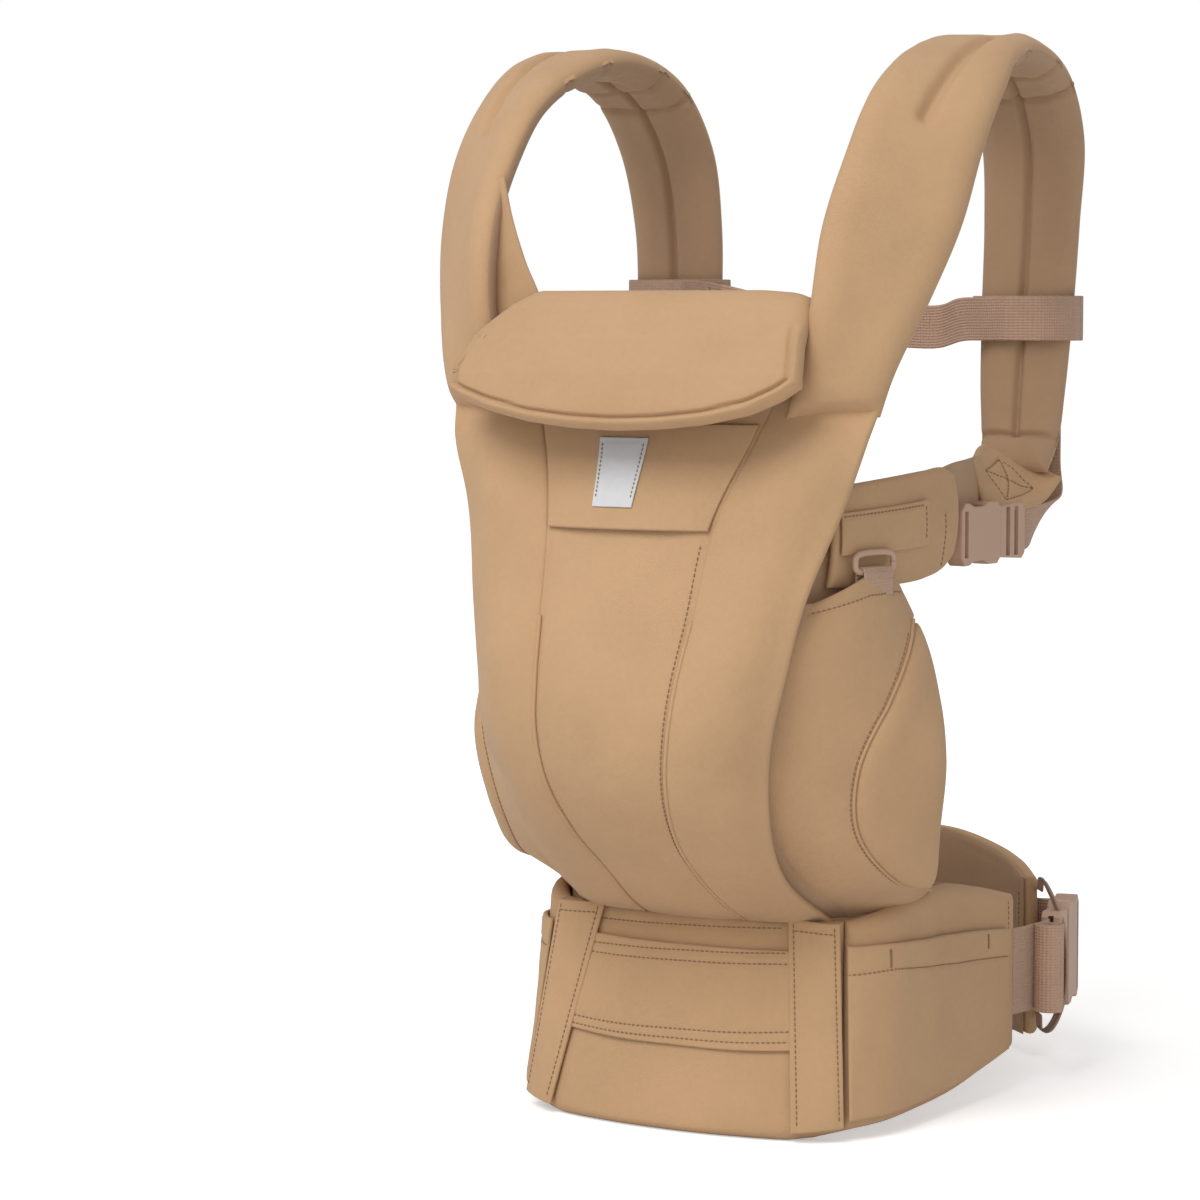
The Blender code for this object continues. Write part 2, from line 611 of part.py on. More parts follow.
def pocket_flap():
    seam = smooth(SEAM, 1.9, 3.05, 6)
    left = seam * np.array((-1, 1, 1))
    edges = np.stack([left + np.array((0.002, 0, 0)), seam - np.array((0.002, 0, 0))], axis=1)
    grid = ruled(edges, 7, 0.0068, (0, -1, 0.0))
    hinge = tuple(grid[0, 3])
    slab("pocket_flap", sheet(grid, (0, -1, 0.1)), 0.0013, 0.0027, pivot=hinge)
    label = resample(grid, np.linspace(0.22, 0.82, 3), np.linspace(0.33, 0.57, 3))
    slab("label", sheet(label, (0, -1, 0.1)), 0.0031, 0.0037, (0.85, 0.86, 0.87), 0.6, hinge)


def head_support():
    half = smooth(HEAD_PAD, 0, len(HEAD_PAD) - 1, 11)
    left = half * np.array((-1, 1, 1))
    across = np.array((0.0, 0.04, 0.15, 0.32, 0.5, 0.68, 0.85, 0.96, 1.0))
    grid = ruled(np.stack([left, half], axis=1), across, 0.007, (0, -1, 0.0))
    grid[:, :, 2] -= 0.003 * np.linspace(0, 1, 11)[:, None] ** 2 * (4 * across * (1 - across))[None, :]
    hinge = (0.0, HEAD_PAD[0][1], HEAD_PAD[0][2])
    padded("head_support", sheet(grid, (0, -1, 0.3)), across, 0.0045, 0.2, pivot=hinge)


def chest_strap():
    low, high = LOOP_INNER
    skin = 0.0018
    front = CHEST_Y - LOOP_DEPTH - skin / 2
    reach = (high - low) / 2
    outer = rectangle(-reach - skin, reach + skin, LOOP_DEPTH + skin, 0.004)
    inner = rectangle(-reach, reach, LOOP_DEPTH, 0.003)
    socket_end = CHEST_MOUTH - CHEST_SOCKET - 2 * GAP
    ends = {
        "right": (CHEST_MOUTH + CHEST_BASE - 0.0025, CHEST_MOUTH + CHEST_BASE + CHEST_TRAVEL + 0.002),
        "left": (socket_end, socket_end - 0.010),
    }
    for side, name in ((1, "right"), (-1, "left")):
        height = CHEST_LOOPS[name]
        place = frame_at((side * (low + high) / 2, CHEST_Y, height), (side, 0, 0), (0, 1, 0))
        node = "chest_webbing_" + name
        around = plate_mesh(node, outer, -WEBBING / 2, WEBBING / 2, place)
        loop = new_object(node, around, NARROW_FABRIC, 0.75)
        start, stop, straight = side * (low + 0.003), *ends[name]
        path = [
            ((start, front, height), (-side * 0.08, 0, 1)),
            ((straight, front, CHEST_HEIGHT), (0, 0, 1)),
            ((straight * 0.9 + stop * 0.1, front, CHEST_HEIGHT), (0, 0, 1)),
            ((stop, front, CHEST_HEIGHT), (0, 0, 1)),
        ]
        run = ribbon(node + "_run", path, WEBBING - 0.0004, WEBBING_THICK)
        run.hide_render = True
        run.display_type = "WIRE"
        combine(loop, run, "UNION")
        cutter = plate_mesh(node + "_inside", inner, -0.05, 0.05, place)
        combine(loop, helper(node + "_inside", cutter), "DIFFERENCE")
    mouth = (CHEST_MOUTH, front, CHEST_HEIGHT)
    buckle_socket("chest_socket", mouth, (1, 0, 0), (0, 0, 1), 0.031, CHEST_SOCKET, 0.0095)
    plug = (0.031, CHEST_BASE, 0.0165, 0.0095, WEBBING)
    buckle_plug("chest_plug", mouth, (1, 0, 0), (0, 0, 1), *plug, mouth)


def waist_closure():
    mouth = Vector(WAIST_MOUTH)
    arm = Vector(WAIST_HINGE) - mouth
    way = Vector((arm.y, -arm.x, 0)).normalized()  # along the arc of the opening, from socket to plug
    if way.y > 0:
        way = -way
    buckle_socket("waist_socket", mouth, way, (0, 0, 1), 0.060, 0.038, 0.0130, WAIST_HINGE)
    buckle_plug("waist_plug", mouth, way, (0, 0, 1), 0.060, 0.026, 0.019, 0.0130, WAIST_WEBBING)
    height = mouth.z
    tail = mouth + way * 0.023
    path = [
        (tail, (0, 0, 1)),
        (mouth + way * 0.032, (0, 0, 1)),
        ((0.1215, 0.1800, height), (0, 0, 1)),
        ((0.1180, 0.1672, height), (0, 0, 1)),
    ]
    ribbon("waist_webbing", path, WAIST_WEBBING, 0.0016)
    far = mouth - way * 0.039
    anchor = [
        (far, (0, 0, 1)),
        ((0.1010, 0.2690, height), (0, 0, 1)),
        ((0.0900, 0.2640, height), (0, 0, 1)),
        ((0.0740, 0.2750, height), (0, 0, 1)),
    ]
    ribbon("waist_socket_webbing", anchor, WAIST_WEBBING, 0.0016, pivot=WAIST_HINGE)
    roll = [(0.0075 * math.cos(a), 0.0060 * math.sin(a)) for a in np.linspace(0, 2 * math.pi, 15)[:-1]]
    place = Matrix.Translation(Vector(WAIST_ROLL))
    mesh = plate_mesh("webbing_roll", roll, -WAIST_WEBBING / 2, WAIST_WEBBING / 2, place, 0.0008)
    new_object("webbing_roll", mesh, NARROW_FABRIC, 0.75)
    wide = (-0.6, 0.8, 0)
    ribbon("safety_loop", [(point, wide) for point in SAFETY_LOOP], 0.012, 0.0014, pivot=WAIST_HINGE)


def main():
    for old in list(bpy.data.objects):
        bpy.data.objects.remove(old)
    belt()
    trim_on_belt()
    front_panel()
    pocket_flap()
    head_support()
    for side, name in ((1, "right"), (-1, "left")):
        side_wings(side, name)
        strap(side, name)
        seat_side(side, name)
        side_band(side, name)
        seat_ring(side, name)
        shoulder_buckle(side, name)
    chest_strap()
    waist_closure()


main()
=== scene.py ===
"""The looks of a soft baby carrier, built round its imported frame.

Every soft piece is a closed sheet on a smooth surface through a few stations, most of them close to the
frame's solids. They are given in a design frame that SHIFT moves to the row frame. Seams are grooves in the
sheet with real thread in them. The buckles are the frame's own plain solids with a plastic material; only
the seat rings are made again.
"""

import math

import bmesh
import bpy
import numpy as np
from mathutils import Matrix, Vector, noise
from mathutils.kdtree import KDTree


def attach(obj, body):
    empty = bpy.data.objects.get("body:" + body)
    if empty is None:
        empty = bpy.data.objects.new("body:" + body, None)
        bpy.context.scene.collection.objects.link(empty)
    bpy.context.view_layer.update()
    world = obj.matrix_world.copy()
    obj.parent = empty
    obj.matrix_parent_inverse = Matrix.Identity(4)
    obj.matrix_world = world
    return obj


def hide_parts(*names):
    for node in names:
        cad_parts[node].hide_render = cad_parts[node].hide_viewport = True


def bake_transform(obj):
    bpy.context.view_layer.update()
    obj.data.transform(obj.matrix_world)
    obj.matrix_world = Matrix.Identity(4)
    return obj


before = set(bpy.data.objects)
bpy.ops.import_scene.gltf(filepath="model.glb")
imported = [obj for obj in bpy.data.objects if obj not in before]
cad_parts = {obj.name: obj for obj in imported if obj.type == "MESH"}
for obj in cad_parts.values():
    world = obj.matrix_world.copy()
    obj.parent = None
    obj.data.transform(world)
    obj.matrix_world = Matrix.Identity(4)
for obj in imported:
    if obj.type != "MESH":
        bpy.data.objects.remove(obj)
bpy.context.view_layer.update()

FLOOR = 0.0125  # height in the design frame of the surface that the belt stands on
SHIFT = (0.0, -0.0989, -FLOOR)  # from the design frame to the row frame
HEM = 0.0011  # radius of a folded edge
ROW = np.linspace(0, 1, 81)  # shares across a surface, for one whole row of it
ARC = (0.0, 22.0, 45.0, 68.0, 90.0)  # degrees, for sampling a rounded edge
THREAD = 0.00034  # thread radius
TRACE_STEP = 0.0007  # spacing of the points along a traced line
STITCH_PITCH = 0.0029
STITCH_LENGTH = 0.0021
STITCH_LIFT = 0.0001  # how far the thread lies off the cloth
WAIST_WEBBING = 0.050
WEBBING = 0.025
SIDES = ((1, "right"), (-1, "left"))

# Waist belt, right half from the front centre back to the arm end: (top edge, bottom edge)
BELT_RIGHT = [
    ((0.0, 0.003, 0.127), (0.0, -0.034, 0.0125)),
    ((0.030, 0.0045, 0.127), (0.040, -0.031, 0.0125)),
    ((0.060, 0.0085, 0.127), (0.0770, -0.0215, 0.0155)),
    ((0.087, 0.0100, 0.127), (0.0965, -0.0070, 0.0180)),
    ((0.1025, 0.0260, 0.131), (0.1075, 0.0160, 0.0188)),
    ((0.1090, 0.0550, 0.1355), (0.1120, 0.0550, 0.0200)),
    ((0.1125, 0.0890, 0.1375), (0.1145, 0.0940, 0.0225)),
    ((0.1160, 0.1280, 0.131), (0.117, 0.130, 0.0285)),
    ((0.119, 0.165, 0.1225), (0.119, 0.165, 0.0355)),
]
BELT_LEFT = [((-t[0], t[1], t[2]), (-b[0], b[1], b[2])) for t, b in reversed(BELT_RIGHT[1:])]
BELT_LOOP = BELT_LEFT + BELT_RIGHT
POCKET_TOP = ((0.0, 0.122), (0.21, 0.152), (0.45, 0.205), (0.66, 0.235), (1.0, 0.222))  # (along, down)
# The rear section, from the left hip round the back to its free end at the right
BELT_REAR = [
    ((-0.119, 0.168, 0.1225), (-0.119, 0.168, 0.0355)),
    ((-0.117, 0.205, 0.126), (-0.118, 0.205, 0.0280)),
    ((-0.104, 0.245, 0.132), (-0.106, 0.247, 0.0200)),
    ((-0.065, 0.282, 0.137), (-0.067, 0.286, 0.0140)),
    ((-0.020, 0.297, 0.139), (-0.020, 0.301, 0.0125)),
    ((0.020, 0.2955, 0.139), (0.020, 0.299, 0.0125)),
    ((0.055, 0.281, 0.134), (0.056, 0.283, 0.0210)),
    ((0.083, 0.262, 0.127), (0.084, 0.263, 0.0260)),
    ((0.098, 0.247, 0.120), (0.0985, 0.2475, 0.0270)),
]
# Right shoulder strap, from inside the wing over the shoulder to its lower rear end: (inner, outer)
STRAP = [
    ((0.0790, -0.0445, 0.3940), (0.1265, -0.0320, 0.3950)),
    ((0.0860, -0.0480, 0.4105), (0.1325, -0.0315, 0.4125)),
    ((0.0955, -0.0510, 0.4500), (0.1450, -0.0140, 0.4530)),
    ((0.0985, -0.0440, 0.4900), (0.1545, 0.0035, 0.4910)),
    ((0.1000, -0.0210, 0.5280), (0.1580, 0.0230, 0.5320)),
    ((0.0990, 0.0090, 0.5600), (0.1580, 0.0480, 0.5620)),
    ((0.0960, 0.0560, 0.5820), (0.1560, 0.0740, 0.5820)),
    ((0.0930, 0.1100, 0.5890), (0.1530, 0.1140, 0.5870)),
    ((0.0890, 0.1570, 0.5740), (0.1500, 0.1580, 0.5730)),
    ((0.0862, 0.1830, 0.5410), (0.1470, 0.1830, 0.5420)),
    ((0.0845, 0.1905, 0.4980), (0.1415, 0.1905, 0.4980)),
    ((0.0838, 0.1895, 0.4500), (0.1385, 0.1895, 0.4500)),
    ((0.0838, 0.1885, 0.4050), (0.1345, 0.1885, 0.4050)),
    ((0.0875, 0.1820, 0.3780), (0.1335, 0.1820, 0.3780)),
    ((0.0925, 0.1690, 0.3605), (0.1325, 0.1690, 0.3605)),
]
# Web between the strap and the head support, top to bottom: (free edge, edge behind the strap)
STRAP_GUSSET = [
    ((0.0985, -0.0300, 0.5210), (0.1020, -0.0290, 0.5210)),
    ((0.0925, -0.0320, 0.5000), (0.1035, -0.0330, 0.4980)),
    ((0.0830, -0.0340, 0.4760), (0.1045, -0.0370, 0.4700)),
    ((0.0725, -0.0350, 0.4540), (0.1050, -0.0400, 0.4400)),
    ((0.0690, -0.0350, 0.4350), (0.1040, -0.0400, 0.4200)),
    ((0.0640, -0.0390, 0.4050), (0.1040, -0.0415, 0.3940)),
]
# Front panel seam on the right, top to bottom
SEAM = [
    (0.0880, -0.0290, 0.4520),
    (0.0766, -0.0370, 0.4200),
    (0.0644, -0.0450, 0.3870),
    (0.0489, -0.0669, 0.3380),
    (0.0444, -0.0820, 0.2900),
    (0.0407, -0.0931, 0.2560),
    (0.0390, -0.0968, 0.2350),
    (0.0354, -0.0929, 0.2075),
    (0.0305, -0.0745, 0.1800),
    (0.0276, -0.0466, 0.1570),
    (0.0300, -0.0040, 0.1290),
    (0.0305, 0.0080, 0.1235),
]
WING_SEAM_TOP = (0.0722, -0.0400, 0.4070)
# Outer edge of the right side wing, top to bottom, one station for each of the seam's from its second on
WING_EDGE = [
    (0.1290, -0.0300, 0.4070),
    (0.1232, -0.0378, 0.3840),
    (0.1119, -0.0423, 0.3500),
    (0.0963, -0.0605, 0.2950),
    (0.0895, -0.0665, 0.2600),
    (0.0845, -0.0705, 0.2320),
    (0.0780, -0.0620, 0.2040),
    (0.0735, -0.0470, 0.1740),
    (0.0705, -0.0235, 0.1510),
    (0.0740, 0.0110, 0.1300),
    (0.0770, 0.0210, 0.1240),
]
# Right seat side piece, top to bottom: (front edge behind the wing, rear edge at the leg opening)
SEAT_SIDE = [
    ((0.0945, -0.0480, 0.3000), (0.1105, 0.0180, 0.3010)),
    ((0.0905, -0.0560, 0.2850), (0.1215, 0.0220, 0.2850)),
    ((0.0820, -0.0610, 0.2450), (0.1320, 0.0290, 0.2450)),
    ((0.0755, -0.0580, 0.2140), (0.1366, 0.0273, 0.2140)),
    ((0.0700, -0.0410, 0.1770), (0.1326, 0.0293, 0.1770)),
    ((0.0690, -0.0080, 0.1500), (0.1270, 0.0380, 0.1520)),
    ((0.0790, 0.0190, 0.1330), (0.1080, 0.0700, 0.1380)),
    ((0.0810, 0.0290, 0.1260), (0.1020, 0.0760, 0.1290)),
]
# Right upper side band, front to rear: (x, y, bottom, top)
SIDE_BAND = [
    (0.0975, -0.0340, 0.3070, 0.3585),
    (0.1040, -0.0100, 0.3060, 0.3605),
    (0.1110, 0.0200, 0.3060, 0.3630),
    (0.1150, 0.0460, 0.3080, 0.3650),
    (0.1172, 0.0620, 0.3120, 0.3660),
    (0.1185, 0.0740, 0.3200, 0.3620),
]
# Tongue from inside the band's rear end back to the strap's end piece: (lower edge, upper edge)
TONGUE = [
    ((0.1160, 0.0560, 0.3400), (0.1160, 0.0560, 0.3640)),
    ((0.1170, 0.0760, 0.3405), (0.1165, 0.0760, 0.3675)),
    ((0.1165, 0.1000, 0.3405), (0.1140, 0.1020, 0.3690)),
    ((0.1160, 0.1240, 0.3400), (0.1080, 0.1300, 0.3700)),
]
# The strap's folded lower end, from the strap forward to the tongue: (upper inner edge, lower outer edge)
STRAP_END = [
    ((0.0900, 0.1780, 0.3740), (0.1372, 0.1800, 0.3560)),
    ((0.0975, 0.1530, 0.3730), (0.1345, 0.1620, 0.3440)),
    ((0.1060, 0.1300, 0.3705), (0.1285, 0.1390, 0.3395)),
    ((0.1125, 0.1120, 0.3680), (0.1200, 0.1130, 0.3395)),
]
# Lining behind the seat side's top and the band: (lower edge, upper edge), front to rear
SEAT_FACING = [
    ((0.0880, -0.0480, 0.2800), (0.0900, -0.0480, 0.3350)),
    ((0.0965, -0.0250, 0.2800), (0.0980, -0.0220, 0.3350)),
    ((0.1040, 0.0010, 0.2800), (0.1045, 0.0010, 0.3350)),
    ((0.1085, 0.0170, 0.2860), (0.1085, 0.0200, 0.3300)),
]


# ---------------------------------------------------------------- surfaces


def smooth(stations, at):
    """Points of a smooth curve through the stations, at these station numbers."""
    knots = np.array(stations, float)
    flat = knots.reshape(len(knots), -1)
    gaps = np.linalg.norm(np.diff(flat, axis=0), axis=1)
    slopes = np.diff(flat, axis=0) / gaps[:, None]
    middle = (slopes[:-1] * gaps[1:, None] + slopes[1:] * gaps[:-1, None]) / (gaps[1:] + gaps[:-1])[:, None]
    tangents = np.vstack([slopes[:1], middle, slopes[-1:]])
    at = np.clip(np.asarray(at, float), 0, len(gaps))
    i = np.minimum(at.astype(int), len(gaps) - 1)
    t = (at - i)[:, None]
    a = 2 * t**3 - 3 * t**2 + 1
    b = (t**3 - 2 * t**2 + t) * gaps[i][:, None]
    c = (t**3 - t**2) * gaps[i][:, None]
    points = a * flat[i] + b * tangents[i] + (1 - a) * flat[i + 1] + c * tangents[i + 1]
    return points.reshape((len(at),) + knots.shape[1:])


def ruled(edges, share, bulge=0.0, way=(0, 0, 0)):
    """A grid between two edges, bowed out along way in its middle."""
    low, high = edges[:, 0], edges[:, 1]
    grid = low[:, None] * (1 - share)[None, :, None] + high[:, None] * share[None, :, None]
    bow = 4 * share * (1 - share) * bulge
    return grid + bow[None, :, None] * np.array(way, float)


def between(stations, side=1, bulge=0.0, way=(0, 0, 0)):
    """The surface through station pairs, as a function of the shares u and v."""
    knots = np.array(stations, float) * np.array((side, 1, 1))

    def surface(u, v):
        return ruled(smooth(knots, (len(knots) - 1) * u), v, bulge, way)

    return surface


def part_of(surface, u_low, u_high, v_low=0.0, v_high=1.0):
    return lambda u, v: surface(u_low + (u_high - u_low) * u, v_low + (v_high - v_low) * v)


def shares_of(full, share):
    """Points at other shares of each row of a grid."""
    count = full.shape[1] - 1
    at = np.clip(share, 0, 1) * count
    j = np.minimum(at.astype(int), count - 1)
    t = (at - j)[:, :, None]
    row = np.arange(len(full))[:, None]
    return full[row, j] * (1 - t) + full[row, j + 1] * t


def shares(count, radius, length):
    """Shares of a length: even, with extra ones in the rounded edge at each end."""
    tip = np.array([radius * (1 - math.cos(math.radians(a))) for a in ARC]) / length
    return np.concatenate([tip, np.linspace(tip[-1], 1 - tip[-1], count)[1:-1], (1 - tip)[::-1]])


def distances(points):
    """How far along a line of points each one is."""
    return np.concatenate([[0], np.cumsum(np.linalg.norm(np.diff(points, axis=0), axis=1))])


def resampled(at, run, values):
    """Vectors known at the distances run, read at others."""
    return np.stack([np.interp(at, run, values[:, axis]) for axis in range(3)], axis=-1)


def nearest(points, targets):
    """How far each point is from the closest of the targets."""
    tree = KDTree(len(targets))
    for i, target in enumerate(targets):
        tree.insert(target, i)
    tree.balance()
    flat = points.reshape(-1, 3)
    return np.array([tree.find(p)[2] for p in flat]).reshape(points.shape[:-1])


def rumple(points, size, seed, octaves=2):
    """Smooth noise of about -1 to 1 at each point, with bumps of this size in metres."""
    offset = Vector((seed * 7.31, seed * 3.17, seed * 5.77))
    flat = points.reshape(-1, 3) / size
    values = [noise.fractal(Vector(p) + offset, 1.0, 2.0, octaves) for p in flat]
    return np.array(values).reshape(points.shape[:-1])


class Cloth:
    """A closed soft piece: a surface with a front and a back at their own distances from it."""

    def __init__(self, surface, outward, rows, columns, tips=(HEM, HEM)):
        probe = surface(np.linspace(0, 1, 9), np.linspace(0, 1, 9))
        length = np.linalg.norm(np.diff(probe[:, 4], axis=0), axis=1).sum()
        width = np.linalg.norm(np.diff(probe[4], axis=0), axis=1).sum()
        self.u = shares(rows, tips[0], length)
        self.v = shares(columns, tips[1], width)
        self.points = surface(self.u, self.v)
        step = 2e-3
        low_u, high_u = np.maximum(self.u - step, 0), np.minimum(self.u + step, 1)
        low_v, high_v = np.maximum(self.v - step, 0), np.minimum(self.v + step, 1)
        along = surface(high_u, self.v) - surface(low_u, self.v)
        across = surface(self.u, high_v) - surface(self.u, low_v)
        normals = np.cross(along, across)
        normals /= np.maximum(np.linalg.norm(normals, axis=2, keepdims=True), 1e-12)
        outward = outward(self.points) if callable(outward) else np.array(outward, float)
        self.normals = normals * (1 if np.sum(normals * outward, axis=2).mean() > 0 else -1)
        self.edge = nearest(self.points, self.rim())
        self.front = np.zeros(self.points.shape[:2])
        self.back = np.zeros(self.points.shape[:2])
        self.fabric = (length, width)

    def rim(self):
        corners = [self.points[0], self.points[:, -1], self.points[-1, ::-1], self.points[::-1, 0]]
        loop = np.concatenate(corners)
        after = np.roll(loop, -1, axis=0)
        quarters = (0, 0.25, 0.5, 0.75)
        return np.array([a + (b - a) * t for a, b in zip(loop, after) for t in quarters])

    def round_off(self, radius, power=2.0):
        """0 at the rim, rising along a rounded profile to 1 at this radius."""
        inside = np.clip(self.edge / radius, 0, 1)
        return (1 - (1 - inside) ** power) ** (1 / power)

    def thick(self, front, back, radius, power=2.0):
        """Puts the two faces this far off the surface, less towards the rim."""
        profile = self.round_off(radius, power)
        self.front = self.front + front * profile
        self.back = self.back + back * profile

    def layer(self, level, front, back, radius, power=2.0):
        """Puts the two faces either side of a level above the surface; returns the rim's profile."""
        profile = self.round_off(radius, power)
        self.front = level + front * profile
        self.back = -level + back * profile
        return profile

    def read(self, grid, path):
        """A grid's values at (u, v) places, linearly."""
        i = np.clip(np.searchsorted(self.u, path[:, 0]) - 1, 0, len(self.u) - 2)
        j = np.clip(np.searchsorted(self.v, path[:, 1]) - 1, 0, len(self.v) - 2)
        s = np.clip((path[:, 0] - self.u[i]) / (self.u[i + 1] - self.u[i]), 0, 1)
        t = np.clip((path[:, 1] - self.v[j]) / (self.v[j + 1] - self.v[j]), 0, 1)
        if grid.ndim == 3:
            s, t = s[:, None], t[:, None]
        near = grid[i, j] * (1 - t) + grid[i, j + 1] * t
        far = grid[i + 1, j] * (1 - t) + grid[i + 1, j + 1] * t
        return near * (1 - s) + far * s

    def trace(self, path, face="front", lift=0.0):
        """Points on the front or the back along a (u, v) path, evenly spaced, and the normals there."""
        knots = np.array(path, float)
        at = np.linspace(0, len(knots) - 1, max(40 * (len(knots) - 1), 60))
        i = np.minimum(at.astype(int), len(knots) - 2)
        dense = knots[i] + (knots[i + 1] - knots[i]) * (at - i)[:, None]
        normals = self.read(self.normals, dense)
        normals /= np.linalg.norm(normals, axis=1, keepdims=True)
        if face == "front":
            height = self.read(self.front, dense)
        else:
            height = self.read(self.back, dense)
            normals = -normals
        points = self.read(self.points, dense) + normals * (height + lift)[:, None]
        run = distances(points)
        even = np.linspace(0, run[-1], max(int(run[-1] / TRACE_STEP), 4))
        points = resampled(even, run, points)
        normals = resampled(even, run, normals)
        return points, normals / np.linalg.norm(normals, axis=1, keepdims=True)

    def groove(self, path, depth, width, face="front"):
        """Presses a seam line into one face."""
        bare_front, bare_back = self.front, self.back
        self.front = self.back = np.zeros_like(bare_front)
        line = self.trace(path)[0]
        self.front, self.back = bare_front, bare_back
        dent = depth * np.exp(-((nearest(self.points, line) / width) ** 2))
        if face == "front":
            self.front = self.front - dent
        else:
            self.back = self.back - dent

    def rim_groove(self, inset, depth, width, face="front"):
        """A groove that runs at one distance inside the rim."""
        dent = depth * np.exp(-(((self.edge - inset) / width) ** 2))
        if face == "front":
            self.front = self.front - dent
        else:
            self.back = self.back - dent

    def crumple(self, height, size, seed, face="both", fade=0.004, stretch=(1, 1, 1)):
        """Gentle unevenness, fading to nothing at the rim."""
        wave = rumple(self.points * np.array(stretch), size, seed) * height
        wave = wave * np.clip(self.edge / fade, 0, 1)
        if face in ("both", "front"):
            self.front = self.front + wave
        if face in ("both", "back"):
            self.back = self.back - wave

    def build(self, name, finish, body, under=None):
        """The mesh object, mapped in metres; under is another finish for its back."""
        rows, cols = self.points.shape[:2]
        front = self.points + self.normals * self.front[:, :, None]
        back = self.points - self.normals * self.back[:, :, None]
        flat_u = self.u * self.fabric[0]
        flat_v = self.v * self.fabric[1]
        index = np.arange(rows * cols).reshape(rows, cols)
        quads = np.stack([index[:-1, :-1], index[1:, :-1], index[1:, 1:], index[:-1, 1:]], axis=-1)
        quads = quads.reshape(-1, 4)
        ring = np.concatenate([index[0, :-1], index[:-1, -1], index[-1, :0:-1], index[:0:-1, 0]])
        after = np.roll(ring, -1)
        rim = np.stack([ring, after, after + rows * cols, ring + rows * cols], axis=1)
        faces = np.concatenate([quads, quads[:, ::-1] + rows * cols, rim])
        points = np.concatenate([front.reshape(-1, 3), back.reshape(-1, 3)])
        uv = np.stack(np.meshgrid(flat_u, flat_v, indexing="ij"), axis=-1).reshape(-1, 2)
        uv = np.concatenate([uv, uv])
        backs = range(len(quads), 2 * len(quads)) if under else ()
        return mesh_object(name, points, faces, finish, body, uv, under, backs)


# ---------------------------------------------------------------- objects


def mesh_object(name, points, faces, finish, body, uv=None, under=None, backs=()):
    """A welded, outward-facing smooth mesh drawn in the design frame, riding on a body."""
    mesh = bpy.data.meshes.new(name)
    mesh.from_pydata(np.asarray(points).tolist(), [], [tuple(int(i) for i in face) for face in faces])
    if uv is not None:
        layer = mesh.uv_layers.new(name="fabric")
        layer.data.foreach_set("uv", uv[faces.ravel()].ravel())
    for index in backs:
        mesh.polygons[index].material_index = 1
    build = bmesh.new()
    build.from_mesh(mesh)
    bmesh.ops.remove_doubles(build, verts=build.verts, dist=2e-6)
    bmesh.ops.dissolve_degenerate(build, edges=build.edges, dist=1e-7)
    bmesh.ops.recalc_face_normals(build, faces=build.faces)
    build.to_mesh(mesh)
    build.free()
    mesh.transform(Matrix.Translation(SHIFT))
    mesh.shade_smooth()
    mesh.materials.append(finish)
    if under:
        mesh.materials.append(under)
    made = bpy.data.objects.new(name, mesh)
    bpy.context.scene.collection.objects.link(made)
    if isinstance(body, tuple):  # given two bodies and two places: the places are not used, and the mesh is baked in place on neither body
        first, second, start, end = body
        tuple(np.add(start, SHIFT))
        tuple(np.add(end, SHIFT))
        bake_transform(made)
    else:
        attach(made, body)
    return made


def tube(points, radius, sides=8):
    """Points and faces of a closed round tube along a line."""
    points = np.asarray(points, float)
    ahead = np.gradient(points, axis=0)
    ahead /= np.linalg.norm(ahead, axis=1, keepdims=True)
    side = np.cross(ahead[0], (0.3, 0.2, 0.93))
    sides_list = []
    for direction in ahead:
        side = side - direction * np.dot(side, direction)
        side /= np.linalg.norm(side)
        sides_list.append(side)
    side = np.array(sides_list)
    up = np.cross(ahead, side)
    turn = np.linspace(0, 2 * math.pi, sides, endpoint=False)
    radius = np.broadcast_to(np.asarray(radius, float), (len(points),))
    ring = (
        side[:, None] * np.cos(turn)[None, :, None] + up[:, None] * np.sin(turn)[None, :, None]
    ) * radius[:, None, None]
    body = (points[:, None] + ring).reshape(-1, 3)
    faces = []
    for i in range(len(points) - 1):
        for j in range(sides):
            k = (j + 1) % sides
            faces.append((i * sides + j, i * sides + k, (i + 1) * sides + k, (i + 1) * sides + j))
    start = len(body)
    body = np.concatenate([body, points[:1], points[-1:]])
    last = (len(points) - 1) * sides
    for j in range(sides):
        k = (j + 1) % sides
        faces.append((start, k, j, j))
        faces.append((start + 1, last + j, last + k, last + k))
    return body, [f if f[2] != f[3] else f[:3] for f in faces]


